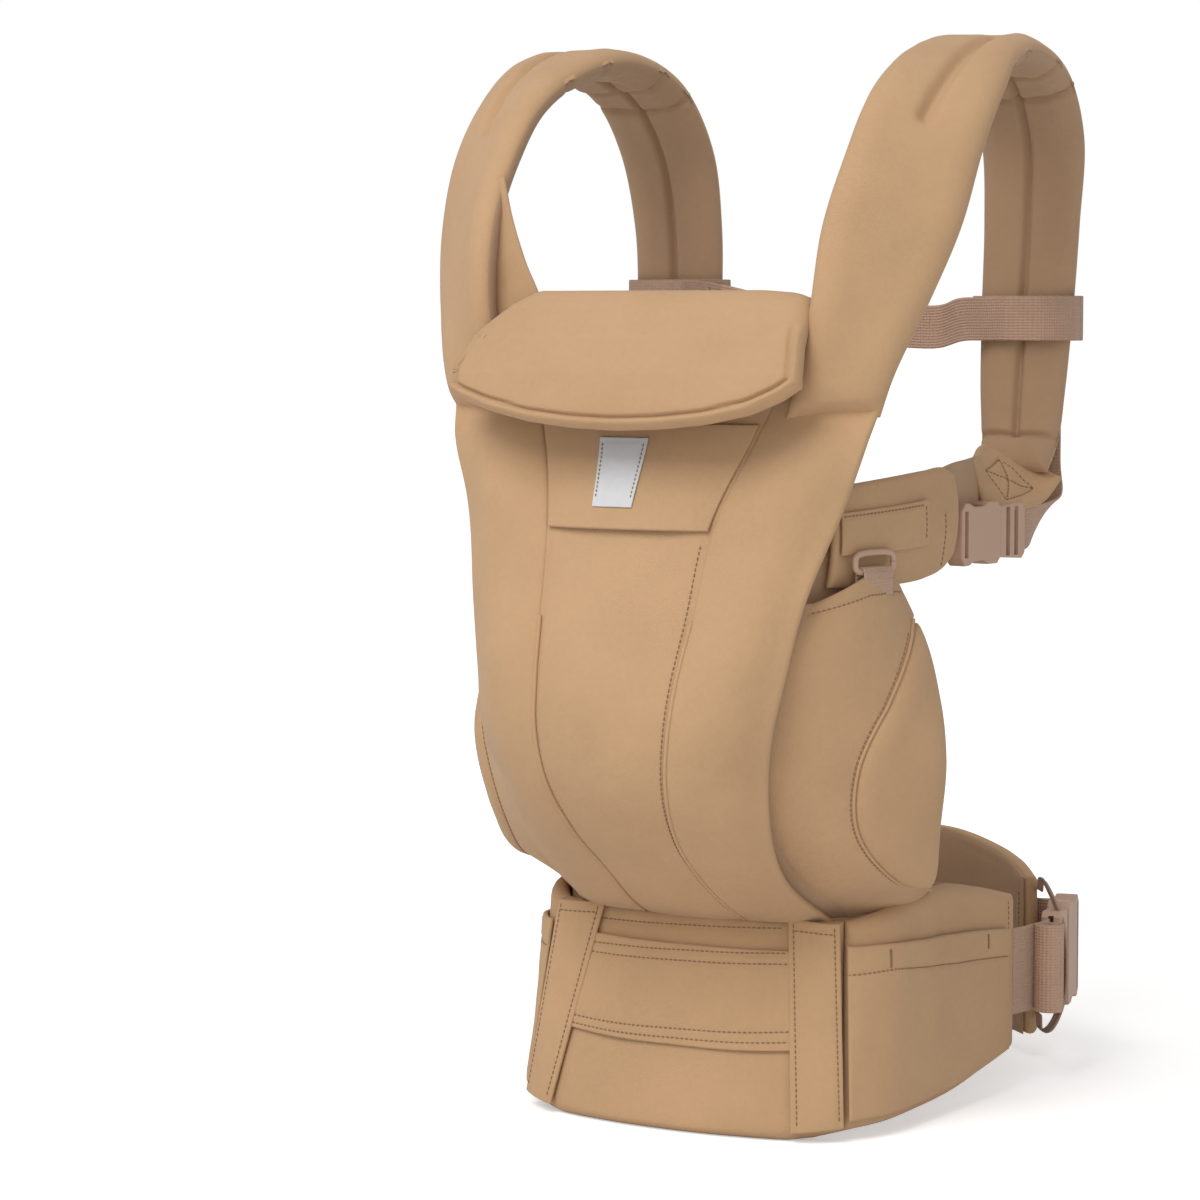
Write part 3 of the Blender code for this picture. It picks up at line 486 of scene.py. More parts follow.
class Thread:
    """Collects the stitches of one body, then makes them one object."""

    def __init__(self):
        self.points, self.faces, self.count = [], [], 0

    def stitch(self, start, end, normal, radius=THREAD):
        """One stitch that dips into the cloth at both ends."""
        middle = (start + end) / 2 + normal * radius * 0.5
        low = normal * radius * 1.3
        rise = start + (middle - start) * 0.35
        fall = end + (middle - end) * 0.35
        line = np.array([start - low, rise, middle, fall, end - low])
        points, faces = tube(line, radius * np.array((0.7, 1.0, 1.05, 1.0, 0.7)), 5)
        self.points.append(points)
        self.faces += [tuple(i + self.count for i in face) for face in faces]
        self.count += len(points)

    def sew(self, traced, pitch=STITCH_PITCH, length=STITCH_LENGTH):
        points, normals = traced
        run = distances(points)
        for number in range(int(run[-1] / pitch)):
            begin = (number + 0.15) * pitch
            i = min(int(np.searchsorted(run, begin)), len(normals) - 1)
            ends = resampled((begin, begin + length), run, points)
            self.stitch(*ends, normals[i])

    def follow(self, cloth, path):
        """Sews along a (u, v) path on a cloth's front."""
        self.sew(cloth.trace(path, lift=STITCH_LIFT))

    def bar(self, start, end, normal, width=0.0018):
        """A bartack: tight stitches side by side."""
        way = end - start
        across = np.cross(way / np.linalg.norm(way), normal) * width / 2
        for share in np.linspace(0, 1, max(int(np.linalg.norm(way) / 0.0007), 3)):
            middle = start + way * share
            self.stitch(middle - across, middle + across, normal, 0.0003)

    def build(self, name, body):
        if self.points:
            mesh_object(name, np.concatenate(self.points), self.faces, FINISH["thread"], body)


# ---------------------------------------------------------------- materials


def material(name, colour, roughness, sheen=0.0):
    made = bpy.data.materials.new(name)
    made.use_nodes = True
    shader = made.node_tree.nodes["Principled BSDF"]
    shader.inputs["Base Color"].default_value = (*colour, 1)
    shader.inputs["Roughness"].default_value = roughness
    shader.inputs["Sheen Weight"].default_value = 0.4 * sheen
    shader.inputs["Sheen Roughness"].default_value = 0.5
    return made, made.node_tree, shader


def add(tree, kind, **inputs):
    node = tree.nodes.new(kind)
    for name, value in inputs.items():
        node.inputs[name.replace("_", " ")].default_value = value
    return node


def grain(tree, vector, scale, detail, **inputs):
    """Noise over the places that a vector socket gives."""
    node = add(tree, "ShaderNodeTexNoise", Scale=scale, Detail=detail, **inputs)
    tree.links.new(vector, node.inputs["Vector"])
    return node.outputs["Fac"]


def calculate(tree, operation, *terms):
    """A maths node over sockets and plain numbers."""
    node = tree.nodes.new("ShaderNodeMath")
    node.operation = operation
    for term, socket in zip(terms, node.inputs):
        if isinstance(term, float):
            socket.default_value = term
        else:
            tree.links.new(term, socket)
    return node.outputs[0]


def speckle(tree, shader, colour, strength, scales=(14.0, 260.0)):
    """Colour that drifts slowly over the piece and a little from thread to thread."""
    place = tree.nodes.new("ShaderNodeTexCoord").outputs["Object"]
    coarse = grain(tree, place, scales[0], 2.0, Roughness=0.6)
    fine = grain(tree, place, scales[1], 4.0, Roughness=0.6)
    mix = calculate(tree, "MULTIPLY_ADD", fine, 0.45, coarse)
    ramp = tree.nodes.new("ShaderNodeValToRGB")
    ramp.color_ramp.elements[0].position = 0.45
    ramp.color_ramp.elements[1].position = 1.0
    for element, factor in zip(ramp.color_ramp.elements, (1 - strength, 1 + strength)):
        element.color = (*[min(c * factor, 1) for c in colour], 1)
    tree.links.new(mix, ramp.inputs["Fac"])
    tree.links.new(ramp.outputs["Color"], shader.inputs["Base Color"])


def bump(tree, shader, heights, strength, distance):
    """Joins up to a few height fields into one bump on the shader."""
    total = heights[0]
    for height in heights[1:]:
        total = calculate(tree, "ADD", total, height)
    node = add(tree, "ShaderNodeBump", Strength=strength, Distance=distance)
    tree.links.new(total, node.inputs["Height"])
    tree.links.new(node.outputs["Normal"], shader.inputs["Normal"])


def bands(tree, vector, direction, period, wobble=0.0):
    """A wave across the fabric's map with this period in metres."""
    turn = 0.2 if direction == "DIAGONAL" else 0.1
    wave = add(tree, "ShaderNodeTexWave", Scale=turn * math.pi / period, Distortion=wobble, Detail=1.0)
    wave.bands_direction = direction
    wave.inputs["Detail Scale"].default_value = 0.6
    tree.links.new(vector, wave.inputs["Vector"])
    return wave.outputs["Fac"]


def fabric_map(tree):
    chart = tree.nodes.new("ShaderNodeUVMap")
    chart.uv_map = "fabric"
    return chart.outputs["UV"]


def twill(name, colour, strength=0.35):
    """Cotton twill: fine diagonal ribs over crossing threads, a little fuzz."""
    made, tree, shader = material(name, colour, 0.9, 0.25)
    speckle(tree, shader, colour, 0.07)
    chart = fabric_map(tree)
    ribs = bands(tree, chart, "DIAGONAL", 0.0011, 0.6)
    warp = calculate(tree, "MULTIPLY", bands(tree, chart, "Y", 0.00062), 0.5)
    bump(tree, shader, [ribs, warp, grain(tree, chart, 900.0, 3.0)], strength, 0.00022)
    return made


def webbing_finish(name, colour, rib=0.0013):
    """Woven tape: ribs across its length, with finer threads along it."""
    made, tree, shader = material(name, colour, 0.7, 0.15)
    speckle(tree, shader, colour, 0.09, (30.0, 500.0))
    chart = fabric_map(tree)
    ribs = bands(tree, chart, "X", rib)
    lanes = calculate(tree, "MULTIPLY", bands(tree, chart, "Y", 0.0016), 0.8)
    bump(tree, shader, [ribs, lanes], 0.9, 0.0004)
    return made


def plain_cloth(name, colour):
    """The same cotton where a piece is too narrow for a map, such as piping."""
    made, tree, shader = material(name, colour, 0.9, 0.25)
    speckle(tree, shader, colour, 0.07)
    place = tree.nodes.new("ShaderNodeTexCoord").outputs["Object"]
    bump(tree, shader, [grain(tree, place, 1400.0, 3.0)], 0.35, 0.0002)
    return made


def moulded(name, colour):
    """Satin moulded plastic with a fine spark texture."""
    made, tree, shader = material(name, colour, 0.42)
    speckle(tree, shader, colour, 0.03, (40.0, 900.0))
    place = tree.nodes.new("ShaderNodeTexCoord").outputs["Object"]
    bump(tree, shader, [grain(tree, place, 2200.0, 2.0)], 0.12, 0.0001)
    return made


CANVAS = (0.515, 0.319, 0.170)
FINISH = {
    "canvas": twill("canvas", CANVAS),
    # lining: a lining cotton, made darker than the canvas as painted shade for inner faces and pieces that
    # lie in shade
    "lining": twill("lining", (0.42, 0.265, 0.155), 0.25),
    "piping": plain_cloth("piping", CANVAS),
    "webbing": webbing_finish("webbing", (0.52, 0.335, 0.235)),
    "elastic": webbing_finish("elastic", (0.50, 0.325, 0.22), 0.0009),
    "plastic": moulded("plastic", (0.52, 0.335, 0.24)),
    "thread": plain_cloth("thread", (0.27, 0.155, 0.08)),
    "label": plain_cloth("label", (0.63, 0.635, 0.65)),
}


# ---------------------------------------------------------------- belt

BELT_LEVEL = -0.00615  # the pads' middle, inside the belt's outer face
BELT_HALF = 0.0062
BELT_REST = 0.0004  # the belt's gap over the surface that it stands on
LAST = len(BELT_LOOP) - 1
# Spans along the belt, in station numbers
FRONT_SPAN = (5.012, 10.988)
PATCH_SPAN = (5.98, 10.02)
TAB_SPANS = {"right": (9.87, 10.93), "left": (5.07, 6.13)}
HIP_SPANS = {"right": (11.0, 16.0), "left": (0.0, 5.0)}
POCKET_SPANS = {"right": (11.06, 15.62), "left": (0.38, 4.94)}
BELT_FACE = between(BELT_LOOP)
REAR_FACE = between(BELT_REAR)
BELT_INSIDE = np.array((0.0, 0.13, 0.08))


def sewn(cloth, name, *replaced, finish="canvas", body="carrier", slot=None, under=None):
    """Builds a cloth piece and hides the nodes that it stands for; the slot argument is not used."""
    made = cloth.build(name, FINISH[finish], body, FINISH[under] if under else None)
    if replaced:
        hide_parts(*replaced)
    return made


def from_inside(points):
    return points - BELT_INSIDE


def keep_above_floor(cloth):
    """Flattens what would reach under the surface that the belt stands on."""
    floor = FLOOR + BELT_REST
    for offsets, sign in ((cloth.front, 1), (cloth.back, -1)):
        height = cloth.points[:, :, 2] + sign * cloth.normals[:, :, 2] * offsets
        low = height < floor
        cloth.points[:, :, 2] = np.where(low, cloth.points[:, :, 2] + floor - height, cloth.points[:, :, 2])


def belt_span(first, last, v_low=0.0, v_high=1.0):
    """The belt's outer face between two of its station numbers."""
    return part_of(BELT_FACE, first / LAST, last / LAST, v_low, v_high)


def belt_pad(name, face, rows, seed, groove, *replaced, body="carrier"):
    """A padded length of the belt with one seam line in its outside."""
    pad = Cloth(face, from_inside, rows, 54, tips=(0.004, 0.008))
    pad.layer(BELT_LEVEL, BELT_HALF, 0.0048, 0.0075, 2.2)
    pad.crumple(0.0009, 0.05, seed, "front", 0.012)
    pad.groove(*groove)
    keep_above_floor(pad)
    made = sewn(pad, name, *replaced, body=body)
    return pad


def patch(face, rows, columns, level, half, seed=1, lump=0.0003):
    """A flat sewn-on piece that lies a little way off a face."""
    piece = Cloth(face, from_inside, rows, columns)
    piece.layer(level, half, half, max(half * 1.2, 0.0009))
    piece.crumple(lump, 0.03, seed, "front", 0.006)
    keep_above_floor(piece)
    return piece


def belt():
    """The belt's front and hips, with the patch, tabs and pockets sewn on them."""
    thread = Thread()
    top_stitch = [(0.02, 0.096), (0.98, 0.046)]
    groove = (top_stitch, 0.0007, 0.0012)
    front = belt_span(*FRONT_SPAN)
    pad = belt_pad("belt_front", front, 150, 1, groove, "belt_front_cover", "belt_front_foam")
    thread.follow(pad, [(0.05, 0.095), (0.80, 0.056)])
    for side, name in SIDES:
        hem = 0.955 if side > 0 else 0.045
        groove = ([(hem, 0.04), (hem, 0.30)], 0.0008, 0.0009)
        replaced = (f"belt_{name}_hip_cover", f"belt_{name}_hip_foam")
        hip = belt_pad(f"belt_{name}_hip", belt_span(*HIP_SPANS[name]), 120, 2 + side, groove, *replaced)
        thread.sew(hip.trace([(hem - 0.012 * side, 0.05), (hem - 0.012 * side, 0.26)]))

    # the seat width patch between the tabs, with its two rows of stitches above and below
    seat_patch = patch(belt_span(*PATCH_SPAN, 0.16, 0.612), 110, 34, 0.0017, 0.0009, seed=4, lump=0.0006)
    rows = ((0.10, 0.025), (0.20, 0.135), (0.875, 0.81), (0.955, 0.915))  # v at the left and right ends
    for at_left, at_right in rows:
        seat_patch.groove([(0.03, at_left), (0.97, at_right)], 0.0005, 0.0010)
    keep_above_floor(seat_patch)
    made = sewn(seat_patch, "seat_patch_cloth", "seat_patch")
    for at_left, at_right in rows:
        thread.follow(seat_patch, [(0.03, at_left), (0.97, at_right)])

    # the vertical tabs either side of it
    for name, span in TAB_SPANS.items():
        tab = patch(belt_span(*span, 0.015, 0.985), 20, 90, 0.0026, 0.0011)
        for share in (0.09, 0.90):
            tab.groove([(share, 0.01), (share, 0.99)], 0.0006, 0.0009)
        keep_above_floor(tab)
        made = sewn(tab, "seat_tab_cloth_" + name, "seat_tab_" + name)
        for share in (0.09, 0.90):
            thread.follow(tab, [(share, 0.02), (share, 0.97)])
        thread.follow(tab, [(0.1, 0.055), (0.9, 0.055)])

    # the pocket along each hip: a wide hem stitched down under its open top edge
    for side, name in SIDES:
        first, last = POCKET_SPANS[name]
        face = pocket_face(first / LAST, last / LAST, side)
        pocket = patch(face, 130, 70, 0.0019, 0.0011, seed=6 + side, lump=0.0010)
        hem_line = [(0.0, 0.165), (0.25, 0.152), (0.6, 0.192), (1.0, 0.230)]
        if side < 0:
            hem_line = [(1 - u, v) for u, v in reversed(hem_line)]
        hem_rise = 1 / (1 + np.exp((pocket.v[None, :] - 0.19) * 90))
        pocket.front += 0.0007 * hem_rise * pocket.round_off(0.002)
        pocket.groove(hem_line, 0.0008, 0.0012)
        keep_above_floor(pocket)
        made = sewn(pocket, "hip_pocket_cloth_" + name, "hip_pocket_" + name)
        hip = f"belt_{name}_hip"
        thread.follow(pocket, hem_line)
        for share in (0.22, 0.84):
            u = share if side > 0 else 1 - share
            start, normals = pocket.trace([(u, 0.035), (u, 0.135)], lift=0.0002)
            thread.bar(start[0], start[-1], normals[0], 0.0016)
    thread.build("belt_stitching", "carrier")


def pocket_face(u_low, u_high, side):
    """The hip pocket's share of the belt's face, with its open top edge where POCKET_TOP puts it."""

    def surface(u, v):
        full = BELT_FACE(u_low + (u_high - u_low) * u, ROW)
        ahead = u if side > 0 else 1 - u
        top = np.interp(ahead, *zip(*POCKET_TOP))
        bottom = 0.955
        return shares_of(full, top[:, None] + (bottom - top)[:, None] * v[None, :])

    return surface


def linings():
    """The belt's linings, and the rear section with its pad and stitches."""
    lining = Cloth(BELT_FACE, from_inside, 170, 40)
    lining.layer(BELT_LEVEL - 0.0062, 0.0007, 0.0007, 0.0012)
    lining.crumple(0.0007, 0.035, 11, "back", 0.01)
    for u in (0.34, 0.66):
        lining.groove([(u, 0.0), (u, 1.0)], 0.0006, 0.0012, "back")
    keep_above_floor(lining)
    # the darker lining finish is partly the lining cloth and partly painted shade on the belt's inner face
    made = sewn(lining, "belt_lining_cloth", "belt_lining", finish="lining")

    groove = ([(0.5, 0.05), (0.5, 0.95)], 0.0006, 0.001)
    replaced = ("belt_rear_cover", "belt_rear_foam", "belt_rear_stiffener")
    rear = belt_pad("belt_rear", REAR_FACE, 150, 21, groove, *replaced, body="belt_rear")
    inner = Cloth(REAR_FACE, from_inside, 150, 44)
    inner.layer(BELT_LEVEL - 0.0044, 0.0005, 0.0022, 0.0060)
    inner.crumple(0.0011, 0.04, 12, "back", 0.01)
    inner.rim_groove(0.006, 0.0006, 0.0009, "back")
    keep_above_floor(inner)
    # the darker lining finish is partly the lining cloth and partly painted shade on the rear section's
    # inner face
    made = sewn(inner, "belt_rear_lining_cloth", "belt_rear_lining", finish="lining", body="belt_rear")
    thread = Thread()
    thread.sew(inner.trace([(0.985, 0.10), (0.985, 0.90)], "back", 0.0001))
    thread.follow(rear, [(0.03, 0.06), (0.97, 0.06)])
    thread.follow(rear, [(0.03, 0.94), (0.97, 0.94)])
    thread.build("belt_rear_stitching", "belt_rear")


def belt_crossing():
    """A pad that bridges the belt's left side seam, where the belt opens."""
    top, bottom = 0.1215, 0.0365
    seam = [((-0.119, y, top), (-0.119, y, bottom)) for y in (0.157, 0.1665, 0.176)]
    crossing = Cloth(between(seam), (-1, 0, 0), 30, 30)
    crossing.thick(0.0040, 0.0040, 0.003)
    follows = ("carrier", "belt_rear", (-0.119, 0.161, 0.08), (-0.119, 0.172, 0.08))
    made = sewn(crossing, "belt_crossing_cloth", body=follows)


# ---------------------------------------------------------------- pouch


def panel_surface(u, v):
    seam = smooth(SEAM, u * (len(SEAM) - 1)) + np.array((0.0030, 0.0012, 0))
    left = seam * np.array((-1, 1, 1))
    return ruled(np.stack([left, seam], axis=1), v, 0.006, (0, -1, 0))


def wing_surface(side):
    def surface(u, v):
        at = u * (len(WING_EDGE) - 1)
        seam = smooth([WING_SEAM_TOP] + SEAM[2:], at) + np.array((0.0004, 0, 0))
        edge = smooth(WING_EDGE, at)
        flat = ruled(np.stack([seam, edge], axis=1), v)
        bowed = ruled(np.stack([seam, edge], axis=1), v, 0.009, (0.55, -0.8, 0.1))
        full = np.clip(0.2 + u / 0.16, 0, 1)[:, None, None]
        return (flat + (bowed - flat) * full) * np.array((side, 1, 1))

    return surface


def pouch():
    """The front panel and the side wings, with a welt along each seam."""
    thread = Thread()
    panel = Cloth(panel_surface, (0, -1, 0.1), 190, 70)
    panel.thick(0.0012, 0.0022, 0.0018)
    panel.crumple(0.0013, 0.055, 31, "both", 0.02, (1, 1, 0.6))
    panel.crumple(0.0005, 0.018, 32, "both", 0.02)
    for share in (0.045, 0.955):
        panel.groove([(0.27, share), (0.99, share)], 0.0007, 0.0010)
    made = sewn(panel, "front_panel_cloth", "front_panel")
    thread.follow(panel, [(0.29, 0.935), (0.90, 0.935)])

    for side, name in SIDES:
        wing = Cloth(wing_surface(side), (side * 0.5, -1, 0.1), 170, 60, tips=(0.0015, 0.003))
        wing.thick(0.0014, 0.0030, 0.0026)
        roll = np.exp(-(((1 - wing.v[None, :]) / 0.12) ** 2)) * np.ones((len(wing.u), 1))
        wing.front += 0.0022 * roll * wing.round_off(0.004)
        wing.back += 0.0020 * roll * wing.round_off(0.004)
        tuck = np.clip(wing.u[:, None] / 0.10, 0, 1)
        wing.front *= 0.3 + 0.7 * tuck
        wing.back *= 0.3 + 0.7 * tuck
        wing.crumple(0.0013, 0.06, 33 + side, "both", 0.02, (1, 1, 0.5))
        wing.crumple(0.0004, 0.016, 35 + side, "both", 0.02)
        made = sewn(wing, "side_wing_cloth_" + name, "side_wing_" + name)
        welt = wing.trace([(0.30, 0.004), (0.97, 0.004)], lift=0.0004)[0]
        points, faces = tube(welt, 0.0011)
        made = mesh_object("seam_welt_" + name, points, faces, FINISH["piping"], "carrier")
    thread.build("pouch_stitching", "carrier")


def pocket_flap():
    def surface(u, v):
        seam = smooth(SEAM, 1.9 + 1.15 * u)
        left = seam * np.array((-1, 1, 1))
        inset = np.array((0.0015, 0, 0))
        return ruled(np.stack([left + inset, seam - inset], axis=1), v, 0.0074, (0, -1, 0))

    flap = Cloth(surface, (0, -1, 0.1), 60, 90)
    profile = flap.layer(0.0019, 0.0007, 0.0007, 0.0009)
    flap.front += 0.0008 * np.clip((flap.u[:, None] - 0.8) / 0.2, 0, 1) * profile
    flap.crumple(0.0006, 0.04, 41, "front", 0.01)
    thread = Thread()
    made = sewn(flap, "pocket_flap_cloth", "pocket_flap", body="pocket_flap")

    label = Cloth(part_of(surface, 0.17, 0.81, 0.305, 0.545), (0, -1, 0.1), 30, 24)
    label.layer(0.0032, 0.0004, 0.0003, 0.0005)
    label.rim_groove(0.0022, 0.0002, 0.0006)
    made = sewn(label, "label_cloth", "label", finish="label", body="pocket_flap")
    inset = 0.085
    for v in (0.93, 0.07):
        thread.sew(label.trace([(inset, v), (1 - inset, v)], lift=0.00005), 0.0024, 0.0015)
    thread.build("flap_stitching", "pocket_flap")


HEAD_HALF = 0.1060  # half the pad's width; the right end is tucked in at the strap's edge
HEAD_RIGHT = (0.0945, 0.0065)  # the right end's reach at the top, and how much further at the bottom
# Heights of the pad's top and bottom edges: (share of the way out from the middle, height)
HEAD_TOP = ((0.0, 0.4575), (0.64, 0.4575), (0.80, 0.4475), (0.93, 0.4340), (1.0, 0.4170))
HEAD_BOTTOM = ((0.0, 0.3875), (0.25, 0.3885), (0.50, 0.3912), (0.75, 0.3965), (0.92, 0.4020), (1.0, 0.4060))
HEAD_TOP_RIGHT = ((0.0, 0.4575), (0.70, 0.4575), (0.90, 0.4560), (1.0, 0.4530))
HEAD_BOTTOM_RIGHT = HEAD_BOTTOM[:4] + ((0.92, 0.4045), (1.0, 0.4110))
HEAD_DEPTH = (  # (height, y)
    (0.385, -0.0745),
    (0.400, -0.0720),
    (0.415, -0.0680),
    (0.432, -0.0600),
    (0.448, -0.0470),
    (0.458, -0.0350),
)


def eased(stations, at):
    """The line through the stations, its corners rounded."""
    even = np.linspace(-0.1, 1.1, 481)
    line = np.interp(np.abs(even), *zip(*stations))
    width = 33
    line = np.convolve(np.pad(line, width // 2, "edge"), np.ones(width) / width, "valid")
    return np.interp(at, even, line)


def head_surface(u, v):
    """The pad's middle surface, a lens: u runs down it and v across."""
    out = np.abs(2 * v - 1)
    right = v > 0.5
    reach = np.where(right[None, :], HEAD_RIGHT[0] + HEAD_RIGHT[1] * u[:, None], HEAD_HALF)
    x = (2 * v - 1)[None, :] * reach
    top = np.where(right, eased(HEAD_TOP_RIGHT, out), eased(HEAD_TOP, out))
    bottom = np.where(right, eased(HEAD_BOTTOM_RIGHT, out), eased(HEAD_BOTTOM, out))
    z = top[None, :] * (1 - u[:, None]) + bottom[None, :] * u[:, None]
    y = np.interp(z, *zip(*HEAD_DEPTH)) - 0.007 * (1 - out[None, :] ** 2)
    return np.stack([x, y, z], axis=2)


def head_support():
    pad = Cloth(head_surface, (0, -1, 0.3), 110, 170, tips=(0.004, 0.006))
    pad.thick(0.0074, 0.0062, 0.012, 2.3)
    pad.crumple(0.0009, 0.07, 51, "front", 0.02)
    lower = np.clip((pad.u[:, None] - 0.30) / 0.15, 0, 1)
    dent = 0.0024 * np.exp(-(((pad.edge - 0.0062) / 0.0008) ** 2)) * lower
    roll = 0.0018 * np.exp(-(((pad.edge - 0.0030) / 0.0019) ** 2)) * lower
    pad.front += roll - dent
    replaced = ("head_support_cover", "head_support_foam", "head_support_lining")
    made = sewn(pad, "head_support_pad", *replaced, body="head_support")


# ---------------------------------------------------------------- sides


PAD_SHARE = 0.57  # how much of the seat side's width the thigh pad takes at its widest
PAD_START, PAD_LENGTH = 0.13, 0.73  # along the seat side


def seat_side(side, name):
    """The gusset from the wing to the leg opening, the pad along its rear edge and the web to the wing."""
    way = np.array((side * 0.8, -0.6, 0.0))
    whole = between(SEAT_SIDE, side, 0.012, way)

    def seam_share(u):
        """How far across the seam between gusset and pad lies."""
        lens = np.sin(np.pi * np.clip((u - PAD_START) / PAD_LENGTH, 0, 1)) ** 0.8
        return 1 - PAD_SHARE * lens

    def gusset_surface(u, v):
        grid = shares_of(whole(u, ROW), seam_share(u)[:, None] * v[None, :])
        # the top edge rises in its middle
        peak = np.interp(v, (0.0, 0.55, 0.85, 1.0), (-0.001, 0.0125, 0.0125, 0.0105))
        fade = np.clip(1 - u / 0.22, 0, 1) ** 1.5
        grid[:, :, 2] += fade[:, None] * peak[None, :]
        return grid

    gusset = Cloth(gusset_surface, way, 120, 70)
    gusset.thick(0.0012, 0.0012, 0.0014)
    gusset.crumple(0.0016, 0.05, 61 + side, "both", 0.02)
    gusset.groove([(0.055, 0.02), (0.055, 0.98)], 0.0006, 0.0010)
    made = sewn(gusset, "seat_gusset_" + name, "seat_side_" + name)
    thread = Thread()
    thread.follow(gusset, [(0.055, 0.05), (0.055, 0.97)])
    thread.follow(gusset, [(u, 0.955) for u in (0.16, 0.30, 0.60, 0.84)])

    def pad_surface(u, v):
        row = 0.135 + 0.72 * u
        start = np.minimum(seam_share(row) + 0.004, 0.985)
        return shares_of(whole(row, ROW), start[:, None] + (1 - start)[:, None] * v[None, :])

    pad = Cloth(pad_surface, way, 110, 50, tips=(0.004, 0.004))
    pad.thick(0.0052, 0.0050, 0.013, 2.0)
    pad.crumple(0.0010, 0.045, 65 + side, "both", 0.01)
    made = sewn(pad, "thigh_pad_cloth_" + name, "thigh_pad_" + name)
    welt = gusset.trace([(u, 0.995) for u in (0.14, 0.3, 0.5, 0.7, 0.86)], lift=0.0008)[0]
    points, faces = tube(welt, 0.0010)
    mesh_object("thigh_welt_" + name, points, faces, FINISH["piping"], "carrier")
    thread.build("seat_stitching_" + name, "carrier")

    def web_surface(u, v):
        """Joins the gusset's front edge to the wing, behind it."""
        near = gusset_surface(u, np.array([0.04]))[:, 0]
        wing = wing_surface(side)(np.linspace(0.15, 1, 161), np.array([0.60]))[:, 0][::-1]
        wing = wing[np.argsort(wing[:, 2])]
        far = np.stack([np.interp(near[:, 2], wing[:, 2], wing[:, axis]) for axis in range(3)], axis=1)
        far[:, 1] += 0.0045
        far[:, 2] = near[:, 2]
        return near[:, None] * (1 - v)[None, :, None] + far[:, None] * v[None, :, None]

    web = Cloth(web_surface, (side, -0.3, 0), 80, 20)
    web.thick(0.0008, 0.0008, 0.001)
    # the darker lining finish here is painted shade behind the wing
    made = sewn(web, "seat_web_" + name, finish="lining")


def side_band(side, name):
    """The upper side band with its flap, the tongue, the strap's folded end and the lining behind."""
    stations = [((x, y, low), (x, y, top)) for x, y, low, top in SIDE_BAND]
    face = between(stations, side, 0.003, (side, 0, 0))
    band = Cloth(face, (side, 0, 0), 90, 46)
    band.thick(0.0024, 0.0024, 0.003)
    band.crumple(0.0011, 0.03, 71 + side, "both", 0.01)
    band.groove([(0.76, 0.04), (0.76, 0.62)], 0.0008, 0.0012)
    band.groove([(0.97, 0.03), (0.97, 0.97)], 0.0005, 0.0010)
    made = sewn(band, "side_band_cloth_" + name, "side_band_" + name)
    flap = Cloth(part_of(face, 0.03, 0.56, 0.33, 0.74), (side, 0, 0), 60, 26)
    flap.layer(0.0036, 0.0009, 0.0009, 0.0009)
    flap.groove([(0.02, 0.90), (0.96, 0.90), (0.96, 0.02)], 0.0004, 0.0010)
    made = sewn(flap, "band_flap_cloth_" + name, "band_flap_" + name)
    thread = Thread()
    thread.follow(flap, [(0.02, 0.90), (0.95, 0.90)])
    thread.follow(flap, [(0.95, 0.88), (0.95, 0.05)])
    thread.follow(band, [(0.76, 0.05), (0.76, 0.60)])

    tongue = Cloth(between(TONGUE, side), (side, 0, 0.1), 60, 34)
    tongue.thick(0.0014, 0.0014, 0.002)
    tongue.crumple(0.0012, 0.022, 75 + side, "both", 0.006)
    # the tongue is canvas, given the darker lining finish as painted shade
    made = sewn(tongue, "strap_tongue_cloth_" + name, "strap_tongue_" + name, finish="lining", slot="canvas")
    end = Cloth(between(STRAP_END, side), (side, -0.3, -0.4), 60, 44)
    end.thick(0.0022, 0.0018, 0.003)
    end.crumple(0.0016, 0.018, 77 + side, "both", 0.006)
    box = [(0.30, 0.28), (0.72, 0.28), (0.72, 0.80), (0.30, 0.80), (0.30, 0.28)]
    seams = (box, [(0.30, 0.28), (0.72, 0.80)], [(0.72, 0.28), (0.30, 0.80)])
    for path in seams:
        end.groove(path, 0.0007, 0.0011)
    made = sewn(end, "strap_end_cloth_" + name)
    for path in seams:
        thread.follow(end, path)

    facing = Cloth(between(SEAT_FACING, side), (side, 0, 0), 50, 30)
    facing.thick(0.0009, 0.0009, 0.001)
    facing.crumple(0.0010, 0.03, 79 + side, "both", 0.008)
    # the darker lining finish is partly the lining cloth and partly painted shade behind the band
    made = sewn(facing, "seat_facing_cloth_" + name, finish="lining")
    thread.build("band_stitching_" + name, "carrier")


